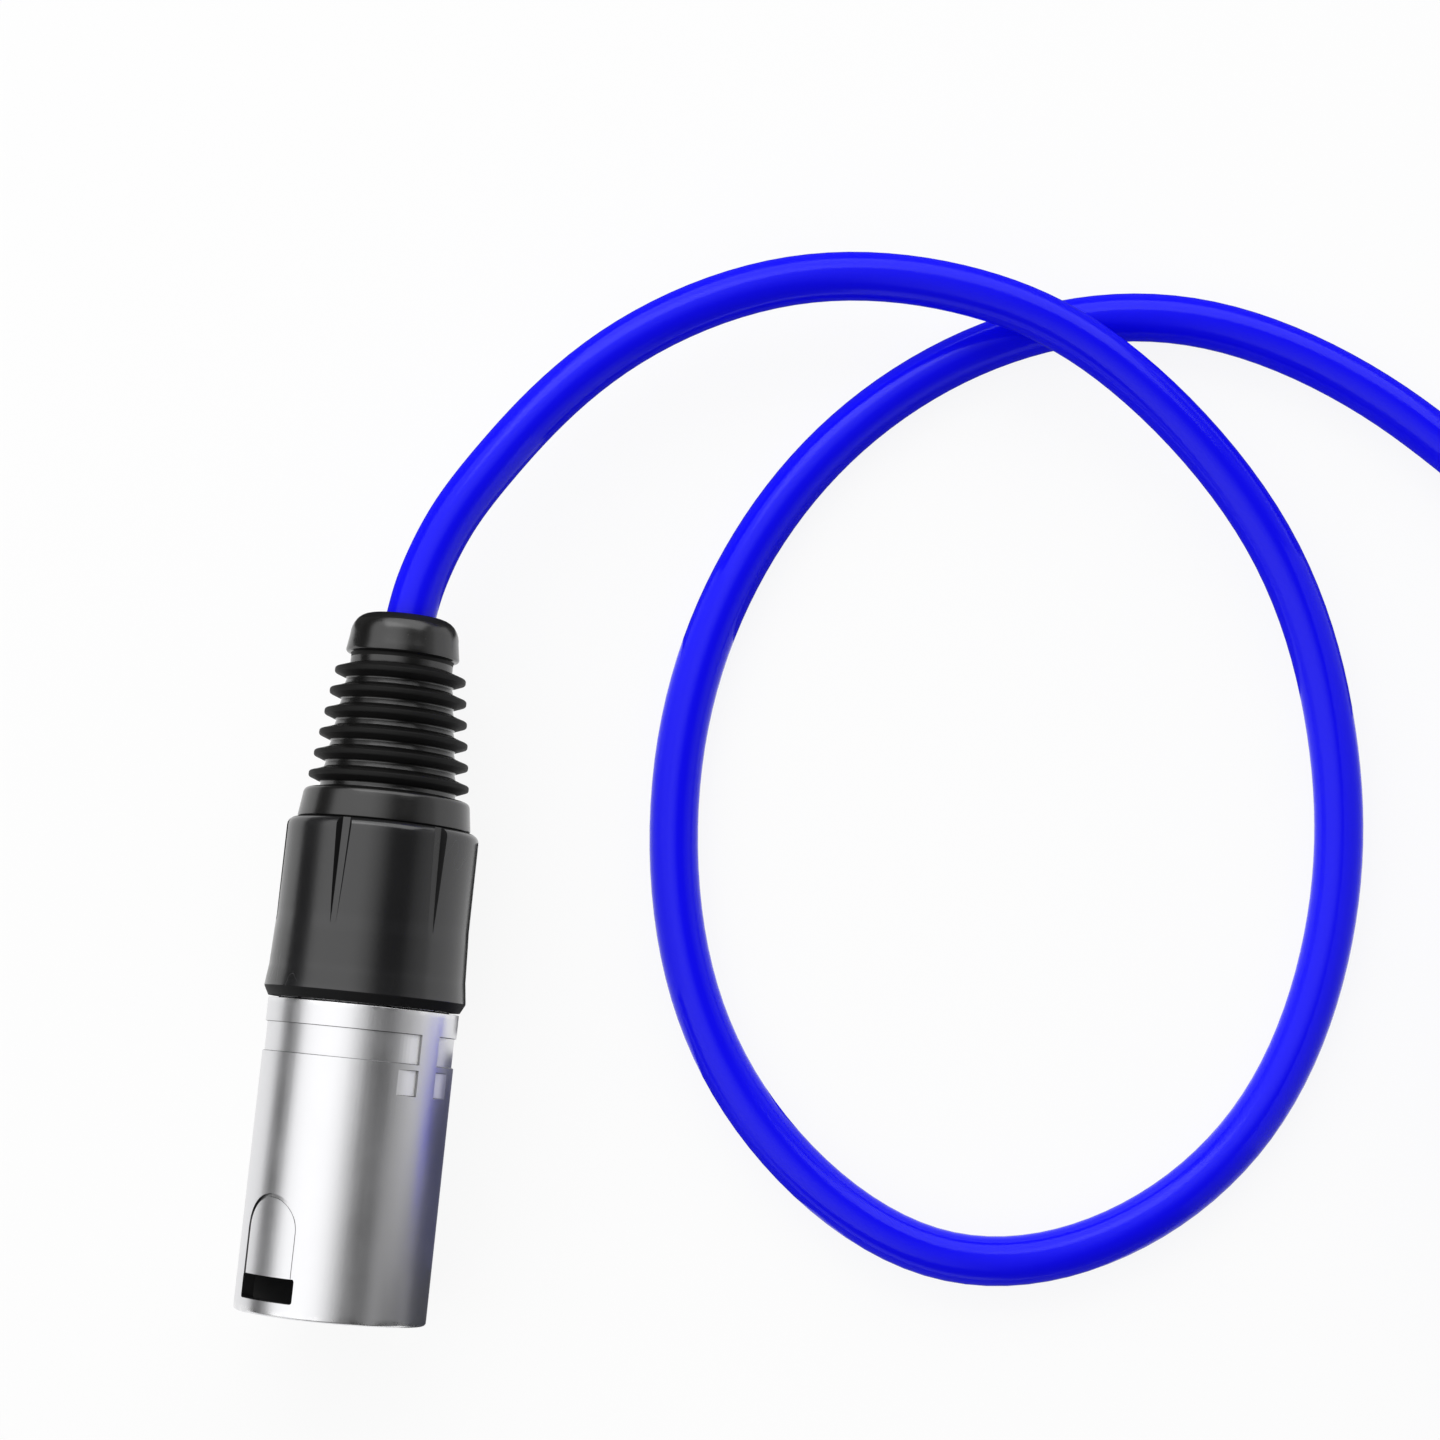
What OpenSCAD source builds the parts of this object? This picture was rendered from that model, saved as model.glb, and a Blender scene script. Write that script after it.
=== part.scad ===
// Microphone cable with a male and a female three-pin plug.
// The male plug lies along Y with its mouth at -Y and stands on z = 0.
// The cable makes one open loop, runs into a flat coil and ends in the female plug.
// All sizes are in millimetres.

/* [Cable] */
// Outside diameter of the round cable
cable_d = 5; // [4.8:0.1:5.2]
// Diameter of each insulated core, and of the tinned drain wire
core_d = 1.4; // [1.2:0.1:1.5]
// Clear space between neighbouring turns of the coil
turn_gap = 0.5; // [0.45:0.05:0.8]
// Turns in each layer of the coil
turns_per_layer = 3.25; // [1.25:0.25:3.25]
// Radius of the coil's outermost turn, on the cable's centre line
coil_out_r = 38.5; // [36:0.5:40]

/* [Tie] */
// Width of the hook-and-loop strap round the coil
tie_w = 12; // [8:1:16]
// Thickness of the strap
tie_t = 1; // [0.8:0.1:1.2]
// Clearance between the strap and the coil
tie_gap = 0.3; // [0.2:0.05:0.4]
// Corner radius of the strap's inner side
tie_corner = 2.5; // [2:0.25:3]
// Length of the strap's overlap over the top of the coil
tie_overlap = 14; // [8:1:18]

/* [Male shell] */
// Outside diameter of both metal shells
shell_d = 19; // [18.8:0.1:19.3]
// Wall of the male shell round its mouth
shell_wall = 1.45; // [1.35:0.05:1.5]
// Depth of the mouth
mouth_depth = 15.5; // [14:0.25:16]
// Length of the shell that shows ahead of the collar
male_reach = 30.9; // [30:0.1:33]
// Thickness of the ledge that the insert stands against
ledge_t = 1; // [0.8:0.1:1.5]
// Width of the ledge, inwards from the mouth's wall
ledge_w = 1.45; // [1.35:0.05:1.5]
// Width of the latch window and of the arch behind it
window_w = 7.1; // [6.8:0.1:7.6]
// Distance from the mouth to the window
window_start = 1.4; // [1.1:0.1:1.6]
// Length of the window along the shell
window_len = 2.4; // [2.2:0.1:2.8]
// Length of the arch's straight sides behind the window
arch_leg = 4.5; // [3:0.5:5]
// Turn of the male plug about its own axis
male_roll = -40; // [-60:5:-20]

/* [Female shell] */
// Length of the nose
nose_len = 15.2; // [14.5:0.1:15.4]
// Length of the full-width body ahead of the collar
female_body = 23.7; // [23:0.1:25]
// Wall of the nose
nose_wall = 1.05; // [0.95:0.05:1.1]
// Distance from the nose's tip to the rear of the wall behind the shoulder
shoulder_back = 16.3; // [16.2:0.1:16.6]

/* [Shell trim] */
// Depth of the shallow band and pockets
trim_depth = 0.2; // [0.1:0.05:0.25]
// Width of the arch line
arch_line = 0.4; // [0.3:0.05:0.6]
// Width of the shallow band
band_w = 3; // [2.5:0.1:3.5]
// Distance from the collar to the band
band_back = 2.5; // [2.3:0.1:3]
// Length of the two pockets ahead of the band
pocket_len = 2.6; // [2:0.1:3]
// Width of the bar between the pockets and the band
bar_w = 0.5; // [0.3:0.1:0.8]
// Edge chamfer on both shells
chamfer = 0.3; // [0.2:0.05:0.4]

/* [Neck and collar] */
// Step from the shell's outside down to its rear neck
neck_step = 1; // [1:0.05:1.1]
// Wall of the neck
neck_wall = 1.1; // [1:0.05:1.1]
// Length of the neck inside the collar
neck_len = 7.6; // [6.5:0.1:7.8]
// Length of the hard collar
collar_len = 17.9; // [17.3:0.1:18.5]
// Distance that the shell moves forward as the collar is unscrewed
unscrew = 5.5; // [4:0.1:5.5]
// Rise of the collar's front lip over the shell
lip_rise = 0.55; // [0.45:0.05:0.65]
// Rise of the collar's grip over the shell
grip_rise = 0.1; // [0.1:0.05:0.25]
// Rounding of the front lip
lip_round = 1; // [0.7:0.1:1.2]
// Length of the lip, up to where it tapers
lip_len = 3.1; // [2.6:0.1:3.5]
// Length of the taper from the lip down to the grip
taper_len = 5; // [4:0.1:5.5]
// Wall of the collar round the boot's spigot
collar_wall = 1.7; // [1.6:0.05:1.9]
// Number of flutes round the collar
flutes = 6; // [4:1:8]
// Radius of the cutter that makes a flute
flute_r = 1.1; // [0.9:0.1:1.3]
// Depth of a flute at the collar's rear edge
flute_depth = 0.55; // [0.3:0.05:0.6]
// Length of a flute
flute_len = 10.4; // [8.5:0.1:11]

/* [Boot] */
// Length of the boot's spigot inside the collar
spigot_len = 8.8; // [8:0.1:8.8]
// Step from the collar's grip down to the boot's base ring
base_step = 0.9; // [0.8:0.05:1.1]
// Length of the base ring
base_len = 3.1; // [2.8:0.1:3.4]
// Number of ribs
ribs = 6; // [4:1:6]
// Distance from the base ring to the middle of the first rib
rib_start = 1.4; // [1.2:0.05:1.5]
// Distance from rib to rib
rib_pitch = 2.14; // [2:0.02:2.2]
// Step from the base ring down to the widest rib
rib_step = 0.65; // [0.5:0.05:0.8]
// Loss of radius from one rib to the next
rib_fall = 0.29; // [0.2:0.01:0.32]
// Height of a rib over the core
rib_rise = 1.3; // [1:0.05:1.4]
// Thickness of a rib at its edge
rib_t = 0.5; // [0.4:0.05:0.7]
// Thickness of a rib at its foot
rib_foot = 1.5; // [1.3:0.05:1.6]
// Thickness of the end cap round the cable
cap_wall = 3.25; // [3.1:0.05:3.5]
// Length of the end cap
cap_len = 4.1; // [3.8:0.1:4.6]
// Corner rounding of the end cap
cap_round = 1.4; // [1:0.1:1.6]
// Visible length of the boot
boot_len = 21.2; // [21:0.1:22.3]

/* [Contacts] */
// Radius of the circle that the three contacts stand on
contact_circle_r = 3.81; // [3.7:0.01:3.9]
// Diameter of a male pin
pin_d = 2.39; // [2.3:0.01:2.45]
// Distance from the male mouth to the pins' tips
pin_back = 2.7; // [2:0.1:4]
// Diameter of a contact's shank inside the insert
shank_d = 2.8; // [2.6:0.1:3]
// Outside diameter of a female contact's sleeve
sleeve_d = 3.5; // [3.3:0.1:3.6]
// Depth of a female contact's bore
sleeve_depth = 12.6; // [11:0.1:13]
// Outside diameter of a solder cup
cup_d = 3; // [2.8:0.1:3.2]
// Length of a solder cup
cup_len = 3.5; // [3:0.1:3.6]
// Inside diameter of a solder cup
cup_bore_d = 1.9; // [1.8:0.05:2.1]
// Depth of a solder cup
cup_depth = 2.6; // [2:0.1:2.8]

/* [Insert and chuck] */
// Length of the skirt that the chuck pushes on
skirt_len = 4; // [3.8:0.1:4.5]
// Wall of the skirt
skirt_wall = 1.3; // [1:0.1:1.5]
// Distance that the skirt reaches under the collar
skirt_reach = 0.1; // [0:0.05:0.5]
// Thickness of the chuck's front flange
chuck_flange_t = 2; // [1.5:0.1:2.5]
// Length of the chuck
chuck_len = 13; // [12:0.1:13.2]
// Step from the flange down to the chuck's sleeve
chuck_step = 0.8; // [0.6:0.1:1.2]
// Wall of the chuck at its rear end
chuck_wall = 2.8; // [2.5:0.1:3]
// Width of the slits in the chuck
slit_w = 0.8; // [0.6:0.1:1]
// Length of the slits
slit_len = 6.6; // [5:0.1:7]
// Length of cable stripped inside the chuck
strip_len = 5; // [4.5:0.1:5.5]

/* [Latch] */
// Width of the latch
latch_w = 6.4; // [6:0.1:6.6]
// Thickness of the latch strip
latch_t = 0.9; // [0.8:0.05:1]
// Depth of the latch's underside below the nose's bore
latch_depth = 1.3; // [1.2:0.05:1.4]
// Rise of the hook over the nose
hook_rise = 0.95; // [0.8:0.05:1.1]
// Length of the hook
hook_len = 2; // [1.6:0.1:2.2]
// Distance from the shoulder back to the nearest point of the hook
hook_ahead = 1.5; // [1.4:0.1:1.7]
// Rise of the button over the shell
button_rise = 0.8; // [0.6:0.1:1]
// Length of the button
button_len = 8.7; // [8:0.1:9]
// Length of the latch behind the button
latch_tail = 2.7; // [2:0.1:3.5]
// Travel of the latch when it is pressed
latch_travel = 1.2; // [1.1:0.05:1.2]
// Thickness of the spring strips
spring_t = 0.3; // [0.2:0.05:0.4]
// Length of the latch spring
spring_len = 8; // [7:0.5:9]
// Width of the spring strips
spring_w = 2; // [1.6:0.1:2.4]

/* [Fits] */
// Radial clearance of pieces that sit firmly in each other
seat = 0.02; // [0.01:0.01:0.04]
// Clearance between pieces that slide or turn on each other
slide_gap = 0.1; // [0.05:0.01:0.12]
// Radial clearance of a female nose in a male mouth
nose_gap = 0.1; // [0.05:0.01:0.15]
// Radial clearance between the neck and the collar that turns on it
turn_gap_r = 0.2; // [0.1:0.05:0.2]
// Gap between the shell's rear face and the collar
face_gap = 0.2; // [0.15:0.05:0.3]
// Radial clearance between the cable and the boot
boot_gap = 0.2; // [0.15:0.05:0.3]
// Extra radius at the boot's outer end, where the cable bends
boot_flare = 0.65; // [0.6:0.05:0.8]

/* [Placement] */
// Distance from the origin to the male mouth
male_mouth_y = 35; // [34.5:0.1:36]
// Place of the female plug's axis along X
female_x = 210; // [208:0.5:212]
// Distance from the origin to the female nose
female_nose_y = 58; // [57:0.5:59]

/* [Hidden] */
$fn = 64;
cut = 0.05;
cable_r = cable_d / 2;
shell_r = shell_d / 2;
mouth_r = shell_r - shell_wall;
ledge_r = mouth_r - ledge_w;
nose_r = mouth_r - nose_gap;
nose_bore_r = nose_r - nose_wall;
neck_r = shell_r - neck_step;
neck_bore_r = neck_r - neck_wall;
insert_r = neck_bore_r - slide_gap;
lip_r = shell_r + lip_rise;
collar_r = shell_r + grip_rise;
spigot_r = collar_r - collar_wall;
base_r = collar_r - base_step;
rib_r = base_r - rib_step;
cap_r = cable_r + cap_wall;
chuck_flange_r = insert_r - slide_gap;
chuck_rear_r = cable_r + chuck_wall;
cup_r = cup_d / 2;
axis_z = lip_r;
female_reach = nose_len + female_body;

// Places measured from the collar's front face, positive towards the boot
insert_back = skirt_reach - skirt_len;
chuck_front = skirt_reach;
jacket_front = chuck_front + strip_len;
boot_tip = collar_len + boot_len;
jacket_inset = 5;
jacket_back = boot_tip - jacket_inset;

// Front end and length of a female contact's sleeve, from the nose's tip
sleeve_front = 1;
sleeve_len = sleeve_depth + 0.4;

// Latch: its underside, the hook's top and the stations along it, from the nose's tip
latch_low = nose_bore_r - latch_depth;
hook_top = nose_r + hook_rise;
hook_z = nose_len - hook_ahead - hook_len;
button_z = nose_len + 0.4;
latch_back = button_z + button_len + latch_tail;
channel_floor = latch_low - latch_travel - slide_gap;

// Ground springs: both as long as the male insert allows
spring_margin = 0.75;
male_ground_z = mouth_depth + ledge_t + spring_margin;
ground_len = male_reach + insert_back - male_ground_z - spring_margin;
female_ground_z = female_reach + insert_back - ground_len - 2 * spring_margin;

// Angles from the latch direction, towards the pocketed side of the shell
land_start = 84.5;
land_end = 99.5;
pocket_span = 14.5;
flute_start = 21.5;

// Contact directions: one and two across, three opposite the latch
CONTACT_DIRS = [[-1, 0], [1, 0], [0, 1]];

// Place of the coil's centre, and the heights of its lowest and highest turns
coil_x = 155;
coil_y = 15;
coil_layers = 4;
coil_top_y = coil_y + coil_out_r;
coil_lift = tie_t + slide_gap;
turn_pitch = cable_d + turn_gap;
top_lift = coil_lift + (coil_layers - 1) * turn_pitch;

// Route of the cable: x, y and the height of its underside over the floor
exit_lift = axis_z - cable_r;
male_exit_y = male_reach + jacket_back - male_mouth_y;
female_exit_y = female_reach + jacket_back - female_nose_y;
RUN = [
    [0, male_exit_y, exit_lift], [0, male_exit_y + 2, exit_lift], [0.5, 36, exit_lift],
    [1, 39, 7.5], [3, 45, 7.5], [6.5, 51, 7.5], [16.5, 65, 7],
    [35, 75.5, 6.5], [55, 75.5, 6], [70, 70, 4.5], [88.5, 53.5, 2.5],
    [96, 33.5, 1], [98, 15, 0], [93, -6.5, 0], [78.5, -21, 0],
    [59, -26, 0], [40, -13.5, 0], [30, 3.5, 0], [27.5, 26.5, 0],
    [32.5, 46, 0], [43, 62, 0], [59.5, 73.5, 0], [79, 77, 0],
    [100, 69, 0], [113.5, 58, 0], [128, 53.5, 0.5],
    [141, coil_top_y, coil_lift], [150, coil_top_y, coil_lift]
];
TAIL = [
    [160, coil_top_y, top_lift], [165, coil_top_y, top_lift],
    [173, 53.5, 17], [186, 53, 15], [199, 46.5, 11.5], [208, 35, 8.5],
    [female_x, 24.5, exit_lift], [female_x, 21, exit_lift],
    [female_x, female_exit_y + 3, exit_lift], [female_x, female_exit_y, exit_lift]
];
run_sides = 12;
coil_sides = 6;
wire_sides = 8;
steps_per_point = 2;
rings_per_turn = 24;

// ---------- curves and tubes ----------

// One point of a uniform cubic spline from four control points
function spline_point(a, b, c, d, t) =
    (pow(1 - t, 3) * a + (3 * pow(t, 3) - 6 * pow(t, 2) + 4) * b
    + (-3 * pow(t, 3) + 3 * pow(t, 2) + 3 * t + 1) * c + pow(t, 3) * d) / 6;

// Control points with a mirrored point at each end, so that the curve reaches both ends
function padded(p) =
    let (last = len(p) - 1)
    concat([2 * p[0] - p[1]], p, [2 * p[last] - p[last - 1]]);

// Smooth curve steered by the points of p, with a number of steps for each of them
function smooth(p, steps) =
    let (q = padded(p))
    [
        for (i = [0 : len(p) - 2], s = [0 : steps - 1])
            spline_point(q[i], q[i + 1], q[i + 2], q[i + 3], s / steps),
        p[len(p) - 1]
    ];

// Route points lifted from the cable's underside to its centre
function centred(route) = [for (p = route) [p[0], p[1], p[2] + cable_r]];

function unit(v) = v / norm(v);

// Direction of a polyline at point i
function heading(p, i) = unit(p[min(i + 1, len(p) - 1)] - p[max(i - 1, 0)]);

// Ring of points round a centre, square to the direction t
function ring(centre, t, side_of, r, sides) =
    let (s = unit(cross(t, side_of)), u = cross(s, t))
    [for (k = [0 : sides - 1]) let (a = 90 + 360 * k / sides) centre + r * (cos(a) * s + sin(a) * u)];

// Length of a polyline up to its last point
function path_len(p) = [for (i = [1 : len(p) - 1]) norm(p[i] - p[i - 1])] * [for (i = [1 : len(p) - 1]) 1];

// Closed tube along the points of p
module tube(p, r, sides, side_of = [0, 0, 1]) {
    n = len(p);
    rings = [for (i = [0 : n - 1]) each ring(p[i], heading(p, i), side_of, r, sides)];
    walls = [
        for (i = [0 : n - 2], k = [0 : sides - 1])
            let (a = i * sides + k, b = i * sides + (k + 1) % sides)
            each [[a, b, b + sides], [a, b + sides, a + sides]]
    ];
    last = (n - 1) * sides;
    ends = [for (k = [1 : sides - 2]) each [[0, k + 1, k], [last, last + k, last + k + 1]]];
    polyhedron(points = rings, faces = concat(walls, ends));
}

// ---------- coil ----------

// Ease from 0 to 1 while t goes from 0 to 1
function ease(t) = let (c = min(max(t, 0), 1)) c * c * (3 - 2 * c);

// Centre of the cable u turns into the coil, clockwise from its far side
function coil_point(u) =
    let (
        layer = min(floor(u / turns_per_layer), coil_layers - 1),
        along = u - layer * turns_per_layer,
        inward = (layer % 2 == 0) ? along : turns_per_layer - along,
        r = coil_out_r - turn_pitch * inward,
        a = 90 - 360 * u,
        climbs = [for (k = [1 : coil_layers - 1]) ease((u - k * turns_per_layer) * 2 + 0.5)],
        lift = turn_pitch * (climbs * [for (k = climbs) 1])
    )
    [coil_x + r * cos(a), coil_y + r * sin(a), cable_r + coil_lift + lift];

coil_turns = coil_layers * turns_per_layer;
coil_steps = rings_per_turn * coil_turns;
COIL_TURNS = [for (i = [0 : coil_steps]) coil_point(i / rings_per_turn)];
COIL = concat(
    [[coil_x - cable_d, coil_top_y, cable_r + coil_lift]],
    COIL_TURNS,
    [[coil_x + cable_d, coil_top_y, cable_r + top_lift]]
);

// Least gap between turns, measured between ring centres half a turn or more apart
least_gap = min([
    for (i = [0 : len(COIL_TURNS) - 1], j = [i + rings_per_turn / 2 : len(COIL_TURNS) - 1])
        norm(COIL_TURNS[i] - COIL_TURNS[j])
]) - cable_d;

// ---------- tie ----------

// Rectangle with round corners of radius r, grown by g on every side
module soft_box(low, high, r, g) {
    size = high - low;
    translate(low - [g, g]) {
        translate([r + g, 0]) square([size[0] - 2 * r, size[1] + 2 * g]);
        translate([0, r + g]) square([size[0] + 2 * g, size[1] - 2 * r]);
        for (x = [r + g, size[0] + g - r], y = [r + g, size[1] + g - r])
            translate([x, y]) circle(r = r + g);
    }
}

// Strap round the coil on its near side, with its free end lapped over the top and outside
module coil_tie() {
    inner_r = coil_out_r - turn_pitch * turns_per_layer - cable_r - tie_gap;
    low = [inner_r, tie_t];
    high = [coil_out_r + cable_r + tie_gap, top_lift + cable_d + tie_gap];
    color([0.06, 0.06, 0.07]) translate([coil_x + tie_w / 2, coil_y, 0]) rotate([90, 0, -90])
        linear_extrude(tie_w) difference() {
            union() {
                soft_box(low, high, tie_corner, tie_t);
                intersection() {
                    soft_box(low, high, tie_corner, 2 * tie_t);
                    translate([high[0] - tie_overlap, high[1] / 3]) square([2 * tie_overlap, high[1]]);
                }
            }
            soft_box(low, high, tie_corner, 0);
        }
}

// ---------- placing ----------

// Lay a plug down: its own axis becomes Y, and its latch side looks up
module lay(x, y, roll) {
    translate([x, y, axis_z]) rotate([-90, 0, 0]) rotate([0, 0, roll]) children();
}

module lay_male() {
    lay(0, -male_mouth_y, male_roll) children();
}

// The female plug mirrors the male one, so that the two face each other when they mate
module lay_female() {
    lay(female_x, -female_nose_y, 0) mirror([1, 0, 0]) children();
}

// Move to the collar's front face
module behind(reach) {
    translate([0, 0, reach]) children();
}

// ---------- shells ----------

// Shallow cut in the shell's surface over a span of angle
module surface_cut(start, span, z, length) {
    rotate([0, 0, start - 90]) rotate_extrude(angle = span)
        translate([shell_r - trim_depth, z]) square([2 * trim_depth, length]);
}

// Band with its upright land, and the two pockets beside the land
module shell_trim(reach) {
    band_z = reach - band_back - band_w;
    pocket_z = band_z - bar_w - pocket_len;
    surface_cut(land_end, 360 - (land_end - land_start), band_z, band_w);
    surface_cut(land_start - pocket_span, pocket_span, pocket_z, pocket_len);
    surface_cut(land_end, pocket_span, pocket_z, pocket_len);
}

// Outline of the arch behind the window, seen along the latch direction
module arch_outline(w) {
    start = window_start + window_len;
    translate([-w / 2, start]) square([w, arch_leg]);
    translate([0, start + arch_leg]) circle(d = w);
}

module arch_cut() {
    intersection() {
        rotate([90, 0, 0]) linear_extrude(shell_d) difference() {
            arch_outline(window_w);
            translate([0, -cut]) arch_outline(window_w - 2 * arch_line);
        }
        difference() {
            cylinder(r = shell_r + cut, h = male_reach);
            translate([0, 0, -cut]) cylinder(r = shell_r - trim_depth, h = male_reach + 2 * cut);
        }
    }
}

// Rear half of a shell's wall outline, from the body to the neck and back inside
function shell_rear(reach) = [
    [shell_r, reach - face_gap - chamfer], [shell_r - chamfer, reach - face_gap],
    [neck_r, reach - face_gap], [neck_r, reach + neck_len],
    [neck_bore_r, reach + neck_len]
];

module male_shell() {
    ledge_back = mouth_depth + ledge_t;
    color([0.82, 0.82, 0.84]) lay_male() difference() {
        rotate_extrude() polygon(concat(
            [[mouth_r + chamfer, 0], [shell_r - chamfer, 0], [shell_r, chamfer]],
            shell_rear(male_reach),
            [[neck_bore_r, ledge_back], [ledge_r, ledge_back], [ledge_r, mouth_depth],
             [mouth_r, mouth_depth], [mouth_r, chamfer]]
        ));
        translate([-window_w / 2, -shell_d, window_start]) cube([window_w, shell_d, window_len]);
        arch_cut();
        shell_trim(male_reach);
    }
}

module female_shell() {
    slot_w = latch_w + 2 * slide_gap + 0.2;
    slot_z = hook_z - 0.4;
    slot_end = button_z + button_len + 0.3;
    color([0.82, 0.82, 0.84]) lay_female() difference() {
        rotate_extrude() polygon(concat(
            [[nose_bore_r, 0], [nose_r - chamfer, 0], [nose_r, chamfer],
             [nose_r, nose_len], [shell_r - chamfer, nose_len], [shell_r, nose_len + chamfer]],
            shell_rear(female_reach),
            [[neck_bore_r, shoulder_back], [nose_bore_r, shoulder_back]]
        ));
        translate([-slot_w / 2, -shell_d, slot_z]) cube([slot_w, shell_d, slot_end - slot_z]);
        shell_trim(female_reach);
    }
}

// ---------- contacts ----------

// Put a child at one contact's place
module at_contact(n) {
    translate([CONTACT_DIRS[n][0] * contact_circle_r, CONTACT_DIRS[n][1] * contact_circle_r, 0]) children();
}

// Solder cup behind the insert's rear wall
module solder_cup() {
    difference() {
        translate([0, 0, insert_back]) cylinder(r = cup_r, h = cup_len);
        translate([0, 0, insert_back + cup_len - cup_depth]) cylinder(d = cup_bore_d, h = cup_len);
    }
}

module male_pin(n) {
    pin_r = pin_d / 2;
    color([0.86, 0.84, 0.78]) lay_male() at_contact(n) {
        translate([0, 0, pin_back + pin_r]) sphere(r = pin_r);
        translate([0, 0, pin_back + pin_r]) cylinder(r = pin_r, h = mouth_depth + cut - pin_back - pin_r);
        translate([0, 0, mouth_depth]) cylinder(d = shank_d, h = male_reach + insert_back + cut - mouth_depth);
        behind(male_reach) solder_cup();
    }
}

module female_contact(n) {
    color([0.86, 0.84, 0.78]) lay_female() at_contact(n) {
        difference() {
            translate([0, 0, sleeve_front]) cylinder(d = sleeve_d, h = sleeve_len);
            translate([0, 0, sleeve_front - cut]) cylinder(d = pin_d + 0.05, h = sleeve_depth + cut);
        }
        translate([0, 0, sleeve_front + sleeve_len - cut])
            cylinder(d = shank_d, h = female_reach + insert_back - sleeve_front - sleeve_len + 2 * cut);
        behind(female_reach) solder_cup();
    }
}

// ---------- inserts ----------

// Skirt behind an insert, which the chuck pushes on
module skirt(reach) {
    translate([0, 0, reach + insert_back - cut]) difference() {
        cylinder(r = insert_r, h = skirt_len + cut);
        translate([0, 0, -cut]) cylinder(r = insert_r - skirt_wall, h = skirt_len + 3 * cut);
    }
}

// Slot for the ground spring, on the side of contact one
module ground_slot(z) {
    depth = spring_t + 0.35;
    w = spring_w + 2 * slide_gap;
    translate([-insert_r - cut, -w / 2, z]) cube([depth + cut, w, ground_len + 2 * slide_gap]);
}

module male_insert() {
    back = male_reach + insert_back;
    front_r = ledge_r - slide_gap;
    color([0.06, 0.06, 0.065]) lay_male() {
        difference() {
            union() {
                translate([0, 0, mouth_depth]) cylinder(r = front_r, h = back - mouth_depth);
                translate([0, 0, mouth_depth + ledge_t]) cylinder(r = insert_r, h = back - mouth_depth - ledge_t);
            }
            for (n = [0 : 2]) at_contact(n)
                translate([0, 0, mouth_depth - cut]) cylinder(d = shank_d + 2 * seat, h = back);
            ground_slot(male_ground_z);
        }
        skirt(male_reach);
    }
}

module female_insert() {
    front = 0.3;
    back = female_reach + insert_back;
    channel_w = latch_w + 0.6;
    channel_z = hook_z - unscrew - 1;
    color([0.06, 0.06, 0.065]) lay_female() {
        difference() {
            union() {
                translate([0, 0, front]) cylinder(r = nose_bore_r - slide_gap, h = back - front);
                translate([0, 0, shoulder_back]) cylinder(r = insert_r, h = back - shoulder_back);
            }
            for (n = [0 : 2]) at_contact(n) {
                translate([0, 0, front - cut]) cylinder(d = shank_d + 2 * seat, h = back);
                translate([0, 0, sleeve_front]) cylinder(d = sleeve_d + 2 * seat, h = sleeve_len);
            }
            translate([-channel_w / 2, -shell_r, channel_z])
                cube([channel_w, shell_r - channel_floor, latch_back + 1 - channel_z]);
            ground_slot(female_ground_z);
        }
        skirt(female_reach);
    }
}

// ---------- springs ----------

// Ground strip with a rounded bump that faces the shell
module ground_spring(z) {
    foot_x = -insert_r + 0.35;
    bump_r = 0.45;
    bump_z = z + slide_gap + ground_len / 2;
    translate([foot_x, -spring_w / 2, z + slide_gap]) cube([spring_t - seat, spring_w, ground_len]);
    translate([foot_x, 0, bump_z]) rotate([90, 0, 0]) intersection() {
        translate([spring_t / 2, 0, -spring_w / 2]) cylinder(r = bump_r, h = spring_w);
        translate([-bump_r, -bump_r, -spring_w / 2]) cube([bump_r + seat, 2 * bump_r, spring_w]);
    }
}

module male_ground_spring() {
    color([0.78, 0.72, 0.55]) lay_male() ground_spring(male_ground_z);
}

module female_ground_spring() {
    color([0.78, 0.72, 0.55]) lay_female() ground_spring(female_ground_z);
}

// ---------- latch ----------

module female_latch() {
    button_r = shell_r + button_rise;
    grip_step = 1.6;
    grip_r = 0.35;
    color([0.09, 0.09, 0.095]) lay_female() {
        translate([-latch_w / 2, -latch_low - latch_t, hook_z]) cube([latch_w, latch_t, latch_back - hook_z]);
        translate([-latch_w / 2, -hook_top, hook_z]) cube([latch_w, hook_top - latch_low, hook_len]);
        difference() {
            intersection() {
                translate([0, 0, button_z]) cylinder(r = button_r, h = button_len);
                translate([-latch_w / 2, -button_r, button_z]) cube([latch_w, button_r - latch_low, button_len]);
            }
            for (i = [-1 : 1])
                translate([-latch_w, -button_r, button_z + button_len / 2 + i * grip_step])
                    rotate([0, 90, 0]) cylinder(r = grip_r, h = 2 * latch_w);
        }
    }
}

// Bowed leaf between the insert's channel and the latch
module female_latch_spring() {
    rise = latch_low - channel_floor - slide_gap;
    bow_r = (pow(spring_len / 2, 2) + pow(rise, 2)) / (2 * rise);
    spring_mid = button_z + button_len / 2;
    color([0.70, 0.70, 0.72]) lay_female()
        translate([-spring_w, -channel_floor - slide_gap / 2, spring_mid]) rotate([90, 0, 90])
            linear_extrude(2 * spring_w) intersection() {
                translate([bow_r - rise, 0]) difference() {
                    circle(r = bow_r);
                    circle(r = bow_r - spring_t);
                }
                translate([-rise, -spring_len / 2]) square([rise, spring_len]);
            }
}

// ---------- clamping the cable ----------

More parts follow.
